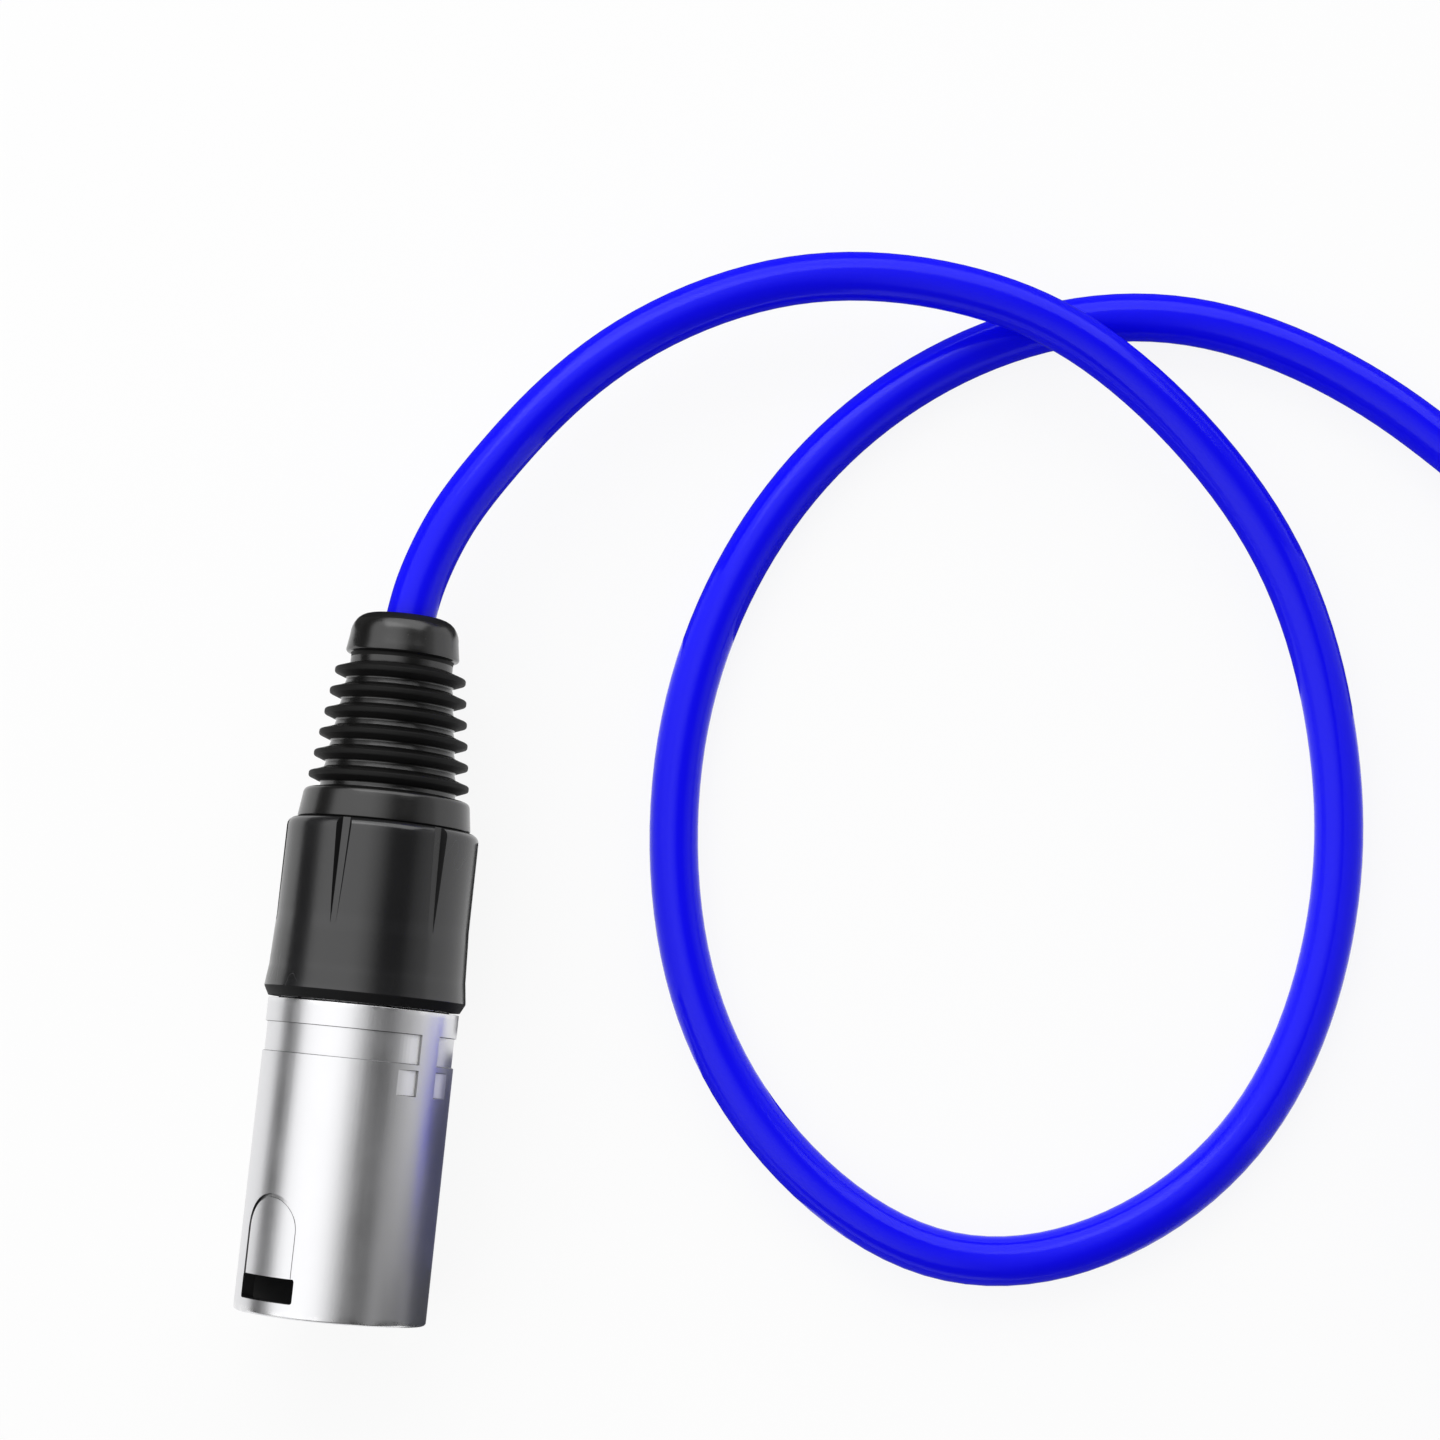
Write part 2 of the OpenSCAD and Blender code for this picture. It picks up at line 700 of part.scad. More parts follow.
module chuck() {
    back = chuck_front + chuck_len;
    difference() {
        rotate_extrude() polygon([
            [chuck_rear_r + 0.1, chuck_front], [chuck_flange_r, chuck_front],
            [chuck_flange_r, chuck_front + chuck_flange_t],
            [chuck_flange_r - chuck_step, chuck_front + chuck_flange_t],
            [chuck_rear_r, back], [cable_r, back], [cable_r, jacket_front]
        ]);
        for (a = [45, 135])
            rotate([0, 0, a]) translate([-chuck_flange_r, -slit_w / 2, back - slit_len])
                cube([2 * chuck_flange_r, slit_w, slit_len + cut]);
    }
}

module male_chuck() {
    color([0.92, 0.91, 0.86]) lay_male() behind(male_reach) chuck();
}

module female_chuck() {
    color([0.92, 0.91, 0.86]) lay_female() behind(female_reach) chuck();
}

// Hard grip ring with a rounded front lip and shallow flutes
module collar() {
    bore_r = neck_r + turn_gap_r;
    step_z = neck_len + 0.5;
    flute_tilt = atan(flute_depth / flute_len);
    difference() {
        rotate_extrude() difference() {
            union() {
                polygon([
                    [spigot_r + seat, 0], [lip_r - lip_round, 0], [lip_r - lip_round, 2 * lip_round],
                    [lip_r - 0.1, lip_round + 0.8], [lip_r - 0.25, lip_len],
                    [collar_r + 0.05, lip_len + 0.8 * taper_len], [collar_r, lip_len + taper_len],
                    [collar_r, collar_len - 1.1], [collar_r - 0.3, collar_len - 0.4],
                    [collar_r - 0.8, collar_len], [spigot_r + seat, collar_len]
                ]);
                translate([lip_r - lip_round, lip_round]) circle(r = lip_round);
            }
            translate([0, -cut]) square([bore_r, step_z + cut]);
        }
        for (i = [0 : flutes - 1])
            rotate([0, 0, flute_start - 90 + i * 360 / flutes])
                translate([collar_r + flute_r, 0, collar_len - flute_len])
                    rotate([0, -flute_tilt, 0]) cylinder(r = flute_r, h = flute_len + 1);
    }
}

module male_collar() {
    color([0.07, 0.07, 0.075]) lay_male() behind(male_reach) collar();
}

module female_collar() {
    color([0.07, 0.07, 0.075]) lay_female() behind(female_reach) collar();
}

// Outline of the boot's outside, from the spigot to the end cap
module boot_outside() {
    base_end = collar_len + base_len;
    first_rib = base_end + rib_start;
    core_r = rib_r - rib_rise;
    last_rib = first_rib + (ribs - 1) * rib_pitch;
    cap_z = boot_tip - cap_len;
    translate([0, collar_len - spigot_len]) square([spigot_r, spigot_len + cut]);
    polygon([
        [0, collar_len], [base_r, collar_len], [base_r - 0.1, base_end - 1],
        [base_r - 0.5, base_end], [core_r + 0.3, base_end + 0.3], [core_r, first_rib],
        [core_r - (ribs - 1) * rib_fall, last_rib], [cap_r - 0.5, cap_z], [0, cap_z]
    ]);
    for (i = [0 : ribs - 1])
        translate([0, first_rib + i * rib_pitch]) {
            tip_r = rib_r - i * rib_fall - rib_t / 2;
            foot_r = core_r - i * rib_fall;
            polygon([
                [0, -rib_foot / 2], [foot_r, -rib_foot / 2], [tip_r, -rib_t / 2],
                [tip_r, rib_t / 2], [foot_r, rib_foot / 2], [0, rib_foot / 2]
            ]);
            translate([tip_r, 0]) circle(d = rib_t);
        }
    polygon([
        [0, cap_z], [cap_r - 0.2, cap_z], [cap_r, cap_z + 0.3],
        [cap_r - 0.5, boot_tip - cap_round], [0, boot_tip - cap_round]
    ]);
    translate([0, boot_tip - cap_round - cut]) square([cap_r - 0.5 - cap_round, cap_round + cut]);
    translate([cap_r - 0.5 - cap_round, boot_tip - cap_round]) circle(r = cap_round);
}

module boot() {
    bore_r = cable_r + boot_gap;
    chuck_back = chuck_front + chuck_len;
    cavity_r = chuck_rear_r + 1.6;
    rotate_extrude() difference() {
        boot_outside();
        translate([-collar_len, 0]) square([collar_len, 3 * collar_len]);
        polygon([
            [0, 0], [cavity_r, 0], [cavity_r, chuck_back + 0.6], [bore_r, chuck_back + 4.8],
            [bore_r, jacket_back], [bore_r + boot_flare, boot_tip + cut], [0, boot_tip + cut]
        ]);
    }
}

module male_boot() {
    color([0.05, 0.05, 0.055]) lay_male() behind(male_reach) boot();
}

module female_boot() {
    color([0.05, 0.05, 0.055]) lay_female() behind(female_reach) boot();
}

// ---------- wires ----------

// Core from the stripped end of the cable to one contact's solder cup
module core(n, d) {
    dir = CONTACT_DIRS[n];
    start_r = 1.2;
    function along(r, z) = [dir[0] * r, dir[1] * r, z];
    cup_floor = insert_back + cup_len - cup_depth;
    path = [
        along(start_r, jacket_front), along(start_r, jacket_front - 1),
        along(start_r + 1.1, chuck_front + 2.4), along(contact_circle_r - 0.1, chuck_front + 0.6),
        along(contact_circle_r, chuck_front - 0.9), along(contact_circle_r, cup_floor + 0.8),
        along(contact_circle_r, cup_floor)
    ];
    tube(smooth(path, steps_per_point), d / 2, wire_sides, [-dir[1], dir[0], 0]);
}

module male_drain_wire() {
    color([0.75, 0.55, 0.40]) lay_male() behind(male_reach) core(0, core_d - 0.4);
}

module male_core_hot() {
    color([0.75, 0.10, 0.08]) lay_male() behind(male_reach) core(1, core_d);
}

module male_core_cold() {
    color([0.90, 0.90, 0.88]) lay_male() behind(male_reach) core(2, core_d);
}

module female_drain_wire() {
    color([0.75, 0.55, 0.40]) lay_female() behind(female_reach) core(0, core_d - 0.4);
}

module female_core_hot() {
    color([0.75, 0.10, 0.08]) lay_female() behind(female_reach) core(1, core_d);
}

module female_core_cold() {
    color([0.90, 0.90, 0.88]) lay_female() behind(female_reach) core(2, core_d);
}

// ---------- cable ----------

module cable_colour() {
    color([0.06, 0.04, 0.85]) children();
}

// Straight end of the cable's jacket, held by the chuck
module jacket_end() {
    translate([0, 0, jacket_front]) cylinder(r = cable_r, h = jacket_back - jacket_front);
}

module male_jacket_end() {
    cable_colour() lay_male() behind(male_reach) jacket_end();
}

module female_jacket_end() {
    cable_colour() lay_female() behind(female_reach) jacket_end();
}

module cable_run() {
    cable_colour() tube(smooth(centred(RUN), steps_per_point), cable_r, run_sides);
}

module cable_coil() {
    cable_colour() tube(COIL, cable_r, coil_sides);
}

module cable_tail() {
    cable_colour() tube(smooth(centred(TAIL), steps_per_point), cable_r, run_sides);
}

cord_len = path_len(smooth(centred(RUN), 8)) + path_len(COIL) + path_len(smooth(centred(TAIL), 8));
echo(str("least gap between the coil's turns, mm: ", least_gap));
echo(str("length of cable between the jacket ends, mm: ", cord_len));

male_shell();
male_insert();
male_pin(0);  // male_pin_1
male_pin(1);  // male_pin_2
male_pin(2);  // male_pin_3
male_ground_spring();
male_chuck();
male_collar();
male_boot();
male_drain_wire();
male_core_hot();
male_core_cold();
male_jacket_end();
cable_run();
cable_coil();
cable_tail();
coil_tie();
female_shell();
female_insert();
female_contact(0);  // female_contact_1
female_contact(1);  // female_contact_2
female_contact(2);  // female_contact_3
female_latch();
female_latch_spring();
female_ground_spring();
female_chuck();
female_collar();
female_boot();
female_drain_wire();
female_core_hot();
female_core_cold();
female_jacket_end();
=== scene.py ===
"""Microphone cable with a male and a female three-pin plug, dressed over its solid model.

Each piece is drawn in millimetres, a plug's in the plug's own frame: its axis runs along +Z from
the mouth or the nose, with the latch towards -Y. The piece is then laid in its place, where
everything is in metres.
"""

import math
from types import SimpleNamespace

import bmesh
import bpy
from mathutils import Matrix, Vector


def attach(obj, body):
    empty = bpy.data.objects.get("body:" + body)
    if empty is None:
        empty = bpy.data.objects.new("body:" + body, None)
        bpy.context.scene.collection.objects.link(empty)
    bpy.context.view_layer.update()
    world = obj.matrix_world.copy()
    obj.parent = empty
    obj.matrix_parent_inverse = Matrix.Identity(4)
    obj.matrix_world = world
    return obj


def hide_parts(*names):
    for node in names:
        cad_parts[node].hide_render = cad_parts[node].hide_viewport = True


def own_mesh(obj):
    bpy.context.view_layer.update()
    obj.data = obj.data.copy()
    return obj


bl_info = {
    "name": "Microphone Cable",
    "version": (1, 0, 0),
    "blender": (4, 5, 0),
    "location": "3D View > Sidebar > Cable",
    "description": "Dresses a three-pin microphone cable, its plugs and its coil",
    "category": "Add Mesh",
}

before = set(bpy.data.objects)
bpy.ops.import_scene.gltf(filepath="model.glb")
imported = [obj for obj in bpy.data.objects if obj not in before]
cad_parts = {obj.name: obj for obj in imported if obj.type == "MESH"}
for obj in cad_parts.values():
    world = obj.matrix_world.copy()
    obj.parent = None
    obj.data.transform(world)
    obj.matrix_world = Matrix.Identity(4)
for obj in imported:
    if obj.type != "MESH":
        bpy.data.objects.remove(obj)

MM = 0.001
PLAY = 0.1                          # clearance between pieces that fit into each other
SWEEP_R = 10.0                      # radius of the circle that a turned outline is swept round
PLUG_AT = {"male": (0, -35), "female": (210, -58)}      # where the mouth and the nose lie
LAND_AT, LAND_HALF = 92.0, 7.5      # the land between the pockets, in degrees from the latch
POCKET_SPAN = 14.5                  # a pocket's width, in degrees
GROOVE_FLOOR, GROOVE_TOP = 0.38, 0.62   # half widths of the arch line, as shares of its width
COIL_STEPS, ROUTE_STEPS = 72, 10    # points for each turn of the coil, and between route points


# ---------------------------------------------------------------- settings

def length(name, description, millimetres):
    """Length that a user may change, given here in millimetres."""
    return bpy.props.FloatProperty(
        name=name, description=description, default=millimetres * MM, unit="LENGTH", precision=5)


def colour(name, description, default):
    """Colour that a user may change."""
    return bpy.props.FloatVectorProperty(
        name=name, description=description, default=default, subtype="COLOR", size=3,
        min=0.0, max=1.0)


def share(name, description, default):
    """Number from 0 to 1 that a user may change."""
    return bpy.props.FloatProperty(
        name=name, description=description, default=default, min=0.0, max=1.0, subtype="FACTOR")


def number(name, description, default):
    """Plain number that a user may change."""
    return bpy.props.FloatProperty(name=name, description=description, default=default)


def count(name, description, default):
    """Whole number that a user may change."""
    return bpy.props.IntProperty(name=name, description=description, default=default, min=1)


def angle(name, description, degrees):
    """Angle that a user may change, given here in degrees."""
    return bpy.props.FloatProperty(
        name=name, description=description, default=math.radians(degrees), unit="ROTATION")


class CableSettings(bpy.types.PropertyGroup):
    """Sizes and colours of the cable and its coil"""

    cable_d: length("Cable Diameter", "Outside diameter of the jacket", 5)
    cable_sides: count("Cable Facets", "Facets round the jacket", 32)
    turn_gap: length("Turn Gap", "Space between neighbouring turns of the coil", 0.5)
    turns_per_layer: number("Turns per Layer", "Turns in each layer of the coil", 3.25)
    coil_layers: count("Coil Layers", "Layers in the coil", 4)
    coil_out_r: length("Coil Radius", "Radius of the outermost turn's centre line", 38.5)
    jacket_colour: colour("Jacket", "Colour of the jacket", (0.0055, 0.0040, 0.93))
    hot_colour: colour("Hot Core", "Colour of the hot core's insulation", (0.55, 0.016, 0.012))
    cold_colour: colour("Cold Core", "Colour of the cold core's insulation", (0.82, 0.81, 0.77))
    copper_colour: colour("Copper", "Colour of the drain wire", (0.86, 0.42, 0.27))


class TieSettings(bpy.types.PropertyGroup):
    """Sizes and colour of the strap round the coil"""

    tie_w: length("Strap Width", "Width of the strap", 12)
    tie_t: length("Strap Thickness", "Thickness of the strap", 1)
    tie_gap: length("Strap Gap", "Clearance between the strap and the coil", 0.3)
    tie_corner: length("Strap Corner", "Corner radius of the strap's inner side", 2.5)
    tie_overlap: length("Strap Overlap", "Length of the overlap over the top of the coil", 14)
    strap_colour: colour("Strap", "Colour of the strap", (0.018, 0.018, 0.020))


class ShellSettings(bpy.types.PropertyGroup):
    """Sizes and colour of the two metal shells"""

    shell_d: length("Shell Diameter", "Outside diameter of both shells", 19)
    shell_wall: length("Mouth Wall", "Wall of the male shell round its mouth", 1.45)
    mouth_depth: length("Mouth Depth", "Depth of the male mouth", 15.5)
    male_reach: length("Male Reach", "Length of the male shell ahead of the collar", 30.9)
    ledge_t: length("Ledge Thickness", "Thickness of the ledge behind the mouth", 1)
    ledge_w: length("Ledge Width", "Width of the ledge behind the mouth", 1.45)
    window_w: length("Window Width", "Width of the latch window", 7.1)
    window_start: length("Window Start", "Distance from the mouth to the window", 1.4)
    window_len: length("Window Length", "Length of the window along the shell", 2.4)
    arch_leg: length("Arch Leg", "Length of the arch's straight sides", 4.5)
    nose_len: length("Nose Length", "Length of the female nose", 15.2)
    female_body: length("Female Body", "Length of the full-width female body", 23.7)
    nose_wall: length("Nose Wall", "Wall of the female nose", 1.05)
    shoulder_back: length("Shoulder Back", "Distance from the nose's tip to its wide rear", 16.3)
    trim_depth: length("Trim Depth", "Depth of the band, the pockets and the arch line", 0.2)
    arch_line: length("Arch Line", "Width of the arch line", 0.4)
    band_w: length("Band Width", "Width of the shallow band", 3)
    band_back: length("Band Back", "Distance from the collar to the band", 2.5)
    pocket_len: length("Pocket Length", "Length of the pockets ahead of the band", 2.6)
    bar_w: length("Bar Width", "Width of the bar between the pockets and the band", 0.5)
    neck_step: length("Neck Step", "Step from the shell's outside down to its neck", 1)
    neck_wall: length("Neck Wall", "Wall of the neck", 1.1)
    neck_len: length("Neck Length", "Length of the neck inside the collar", 7.6)
    thread_pitch: length("Thread Pitch", "Pitch of the thread on the neck", 1)
    male_roll: angle("Male Roll", "Turn of the male plug about its own axis", -40)
    shell_facets: count("Shell Facets", "Facets round a shell", 192)
    metal_colour: colour("Shell Metal", "Colour of the shells", (0.80, 0.80, 0.815))
    metal_roughness: share("Shell Roughness", "Roughness of the shells' satin finish", 0.33)


class GripSettings(bpy.types.PropertyGroup):
    """Sizes and colours of the collars and the boots"""

    collar_len: length("Collar Length", "Length of the hard collar", 17.9)
    lip_rise: length("Lip Rise", "Rise of the collar's front lip over the shell", 0.55)
    grip_rise: length("Grip Rise", "Rise of the collar's grip over the shell", 0.1)
    lip_round: length("Lip Rounding", "Rounding of the front lip", 1)
    lip_len: length("Lip Length", "Length of the lip, up to where it tapers", 3.1)
    taper_len: length("Taper Length", "Length of the taper from the lip to the grip", 5)
    collar_wall: length("Collar Wall", "Wall of the collar round the boot", 1.7)
    flutes: count("Flutes", "Flutes round the collar", 6)
    flute_start: angle("Flute Start", "Place of the first flute round the collar", 21.5)
    flute_depth: length("Flute Depth", "Depth of a flute at the collar's rear", 0.55)
    flute_len: length("Flute Length", "Length of a flute", 10.4)
    spigot_len: length("Spigot Length", "Length of the boot inside the collar", 8.8)
    base_step: length("Base Step", "Step from the grip down to the boot's base ring", 0.9)
    base_len: length("Base Length", "Length of the base ring", 3.1)
    ribs: count("Ribs", "Ribs on the boot", 6)
    rib_start: length("Rib Start", "Distance from the base ring to the first rib's middle", 1.4)
    rib_pitch: length("Rib Pitch", "Distance from rib to rib", 2.14)
    rib_step: length("Rib Step", "Step from the base ring down to the widest rib", 0.65)
    rib_fall: length("Rib Fall", "Loss of radius from one rib to the next", 0.29)
    rib_rise: length("Rib Rise", "Height of a rib over the core", 1.3)
    rib_t: length("Rib Edge", "Thickness of a rib at its edge", 0.5)
    rib_foot: length("Rib Foot", "Thickness of a rib at its foot", 1.5)
    cap_wall: length("Cap Wall", "Thickness of the end cap round the cable", 3.25)
    cap_len: length("Cap Length", "Length of the end cap", 4.1)
    cap_round: length("Cap Rounding", "Corner rounding of the end cap", 2.2)
    boot_len: length("Boot Length", "Visible length of the boot", 21.2)
    collar_colour: colour("Collar", "Colour of the collars", (0.0092, 0.0092, 0.0098))
    boot_colour: colour("Boot", "Colour of the boots", (0.0080, 0.0078, 0.0076))


class InsideSettings(bpy.types.PropertyGroup):
    """Sizes and colours of the inserts, the contacts and the latch"""

    contact_circle_r: length("Contact Circle", "Radius of the circle of the contacts", 3.81)
    pin_d: length("Pin Diameter", "Diameter of a male pin", 2.39)
    pin_back: length("Pin Setback", "Distance from the male mouth to the pins' tips", 2.7)
    shank_d: length("Shank Diameter", "Diameter of a contact inside the insert", 2.8)
    sleeve_d: length("Sleeve Diameter", "Outside diameter of a female contact's sleeve", 3.5)
    sleeve_depth: length("Sleeve Depth", "Depth of a female contact's bore", 12.6)
    cup_d: length("Cup Diameter", "Outside diameter of a solder cup", 3)
    cup_len: length("Cup Length", "Length of a solder cup", 3.5)
    cup_bore_d: length("Cup Bore", "Inside diameter of a solder cup", 1.9)
    cup_depth: length("Cup Depth", "Depth of a solder cup", 2.6)
    skirt_len: length("Skirt Length", "Length of the skirt behind an insert", 4)
    skirt_wall: length("Skirt Wall", "Wall of the skirt", 1.3)
    latch_w: length("Latch Width", "Width of the latch", 6.4)
    latch_t: length("Latch Thickness", "Thickness of the latch strip", 0.9)
    latch_depth: length("Latch Depth", "Depth of the latch below the nose's bore", 1.3)
    latch_travel: length("Latch Travel", "Travel of the latch when it is pressed", 1.2)
    hook_rise: length("Hook Rise", "Rise of the hook over the nose", 0.95)
    hook_len: length("Hook Length", "Length of the hook", 2)
    hook_ahead: length("Hook Place", "Distance from the shoulder to the hook", 1.5)
    button_rise: length("Button Rise", "Rise of the button over the shell", 0.8)
    button_len: length("Button Length", "Length of the button", 8.7)
    latch_tail: length("Latch Tail", "Length of the latch behind the button", 2.7)
    insert_colour: colour("Insert", "Colour of the inserts", (0.013, 0.013, 0.014))
    contact_colour: colour("Contacts", "Colour of the plated contacts", (0.90, 0.885, 0.855))
    chuck_colour: colour("Chucks", "Colour of the chucks", (0.80, 0.775, 0.68))
    spring_colour: colour("Springs", "Colour of the springs", (0.72, 0.66, 0.50))
    latch_colour: colour("Latch", "Colour of the latch", (0.016, 0.016, 0.0175))


class StageSettings(bpy.types.PropertyGroup):
    """Floor, lights and camera"""

    floor_colour: colour("Floor", "Colour of the floor", (0.90, 0.90, 0.90))
    floor_lift: share("Floor Lift", "Share of plain white in what is seen of the floor", 0.9)
    key_light: number("Key Light", "Brightness of the large soft light on the left", 1.25)
    fill_light: number("Fill Light", "Brightness of the soft light on the right", 0.5)
    back_light: number("Back Light", "Brightness of the soft light behind", 1.8)
    lens: bpy.props.FloatProperty(
        name="Lens", description="Focal length of the camera", default=85.475, unit="CAMERA")


SETTINGS = {
    "cable_settings": CableSettings,
    "tie_settings": TieSettings,
    "shell_settings": ShellSettings,
    "grip_settings": GripSettings,
    "inside_settings": InsideSettings,
    "stage_settings": StageSettings,
}


def sizes():
    """Every setting, with lengths in millimetres, and the sizes that follow from them."""
    s = SimpleNamespace()
    for group in SETTINGS:
        values = getattr(bpy.context.scene, group)
        for prop in values.bl_rna.properties:
            if prop.identifier in type(values).__annotations__:
                value = getattr(values, prop.identifier)
                if prop.type == "FLOAT" and prop.unit == "LENGTH":
                    value /= MM
                setattr(s, prop.identifier, value)
    button_gap, spring_room = 0.4, 1.5
    s.cable_r, s.shell_r = s.cable_d / 2, s.shell_d / 2
    s.mouth_r = s.shell_r - s.shell_wall
    s.ledge_r = s.mouth_r - s.ledge_w
    s.ledge_back = s.mouth_depth + s.ledge_t
    s.nose_r = s.mouth_r - PLAY
    s.nose_bore_r = s.nose_r - s.nose_wall
    s.neck_r = s.shell_r - s.neck_step
    s.neck_bore_r = s.neck_r - s.neck_wall
    s.insert_r = s.neck_bore_r - PLAY
    s.axis_z = s.lip_r = s.shell_r + s.lip_rise
    s.collar_r = s.shell_r + s.grip_rise
    s.spigot_r = s.collar_r - s.collar_wall
    s.base_r = s.collar_r - s.base_step
    s.rib_r = s.base_r - s.rib_step
    s.cap_r = s.cable_r + s.cap_wall
    s.reach = {"male": s.male_reach, "female": s.nose_len + s.female_body}
    s.insert_back = PLAY - s.skirt_len
    s.base_end = s.collar_len + s.base_len
    s.boot_tip = s.collar_len + s.boot_len
    s.latch_low = s.nose_bore_r - s.latch_depth
    s.hook_z = s.nose_len - s.hook_ahead - s.hook_len
    s.button_z = s.nose_len + button_gap
    s.button_end = s.button_z + s.button_len
    s.latch_back = s.button_end + s.latch_tail
    s.channel_floor = s.latch_low - s.latch_travel - PLAY
    s.ground_len = s.male_reach + s.insert_back - s.ledge_back - spring_room
    s.coil_x, s.coil_y = 155.0, 15.0
    s.coil_lift = s.tie_t + PLAY
    s.turn_pitch = s.cable_d + s.turn_gap
    s.top_lift = s.coil_lift + (s.coil_layers - 1) * s.turn_pitch
    s.contacts = ((-s.contact_circle_r, 0), (s.contact_circle_r, 0), (0, s.contact_circle_r))
    return s


def plug_place(s, sex, along=0.0):
    """Matrix that lays a male or a female plug's pieces in the frame, so far along its axis."""
    place = (Matrix.Scale(MM, 4) @ Matrix.Translation((*PLUG_AT[sex], s.axis_z))
             @ Matrix.Rotation(-math.pi / 2, 4, "X"))
    turned_up = (Matrix.Rotation(s.male_roll, 4, "Z") if sex == "male"
                 else Matrix.Scale(-1, 4, (1, 0, 0)))
    return place @ turned_up @ Matrix.Translation((0, 0, along))


# ---------------------------------------------------------------- node trees

class Signal:
    """One socket's value. Arithmetic on it adds the Math nodes that work it out."""

    def __init__(self, graph, socket):
        self.graph, self.socket = graph, socket

    def other(self, name):
        """Another output of the same node."""
        return Signal(self.graph, self.socket.node.outputs[name])

    def worked(self, operation, *values):
        """This value put through a Math node with other values."""
        return self.graph.math(operation, self, *values)

    def __add__(self, value):
        return self.worked("ADD", value)

    def __sub__(self, value):
        return self.worked("SUBTRACT", value)

    def __rsub__(self, value):
        return self.graph.math("SUBTRACT", value, self)

    def __mul__(self, value):
        return self.worked("MULTIPLY", value)

    def __truediv__(self, value):
        return self.worked("DIVIDE", value)

    __radd__ = __add__
    __rmul__ = __mul__


class Graph:
    """Node tree that is written as expressions."""

    def __init__(self, tree):
        self.tree = tree

    def add(self, kind, settings=None, sockets=None, out=0):
        """Adds a node with its settings, then its sockets' values or links. Gives one output."""
        node = self.tree.nodes.new(kind)
        for name, value in (settings or {}).items():
            if name == "stops":
                for place, shade in value[len(node.color_ramp.elements):]:
                    node.color_ramp.elements.new(place)
                for element, (place, shade) in zip(node.color_ramp.elements, value):
                    element.position, element.color = place, (shade, shade, shade, 1)
            else:
                setattr(node, name, value)
        for key, value in (sockets or {}).items():
            if isinstance(value, Signal):
                self.tree.links.new(value.socket, node.inputs[key])
            else:
                node.inputs[key].default_value = value
        return Signal(self, node.outputs[out]) if node.outputs else node

    def math(self, operation, *values):
        """Numbers put through a Math node."""
        return self.add("ShaderNodeMath", {"operation": operation}, dict(enumerate(values)))

    def vector(self, operation, *values):
        """Vectors put through a Vector Math node."""
        return self.add("ShaderNodeVectorMath", {"operation": operation}, dict(enumerate(values)))

    def xyz(self, x=0.0, y=0.0, z=0.0):
        """Vector from its parts."""
        return self.add("ShaderNodeCombineXYZ", None, {"X": x, "Y": y, "Z": z})

    def parts(self, vector):
        """The X part of a vector, whose other outputs are Y and Z."""
        return self.add("ShaderNodeSeparateXYZ", None, {0: vector})

    def ramp(self, value, *stops):
        """Value read off a ramp of (place, shade) stops."""
        return self.add("ShaderNodeValToRGB", {"stops": stops}, {"Fac": value})


def blank(owner):
    """Empty node tree of a material, a light or a world."""
    owner.use_nodes = True
    owner.node_tree.nodes.clear()
    return owner.node_tree


class Shape(Graph):
    """Geometry tree with named inputs, which ends in plain geometry with one finish."""

    SOCKETS = {"Geometry": "NodeSocketGeometry", "Finish": "NodeSocketMaterial"}

    def __init__(self, name, lengths=(), counts=(), vectors=()):
        super().__init__(bpy.data.node_groups.new(name, "GeometryNodeTree"))
        wanted = dict(self.SOCKETS)
        wanted.update({n: "NodeSocketFloat" for n in lengths})
        wanted.update({n: "NodeSocketInt" for n in counts})
        wanted.update({n: "NodeSocketVector" for n in vectors})
        for label, kind in wanted.items():
            self.tree.interface.new_socket(label, in_out="INPUT", socket_type=kind)
        self.tree.interface.new_socket(
            "Geometry", in_out="OUTPUT", socket_type=self.SOCKETS["Geometry"])
        self.inputs = self.add("NodeGroupInput")

    def __getitem__(self, name):
        return self.inputs.other(name)

    def stored(self, geometry, name, kind, value):
        """Geometry whose points keep a value under a name."""
        return self.add("GeometryNodeStoreNamedAttribute", {"data_type": kind, "domain": "POINT"}, {
            "Geometry": geometry, "Name": name, "Value": value})

    def closed(self, geometry):
        """Ends the tree with geometry that has no instances left."""
        real = self.add("GeometryNodeRealizeInstances", None, {"Geometry": geometry})
        made = self.add("GeometryNodeSetMaterial", None, {
            "Geometry": real, "Material": self["Finish"]})
        self.add("NodeGroupOutput", None, {0: made})
        return self.tree


def turned_tree():
    """Turns an outline round the Z axis."""
    g = Shape("turned_piece", counts=("Facets",))
    outline = g.add("GeometryNodeMeshToCurve", None, {"Mesh": g["Geometry"]})
    ring = g.add("GeometryNodeCurvePrimitiveCircle", None, {
        "Resolution": g["Facets"], "Radius": SWEEP_R})
    upright = g.add("GeometryNodeSetCurveNormal", {"mode": "Z_UP"}, {"Curve": ring})
    swept = g.add("GeometryNodeCurveToMesh", None, {"Curve": upright, "Profile Curve": outline})
    return g.closed(g.add("GeometryNodeMergeByDistance", None, {
        "Geometry": swept, "Distance": 0.0005}))


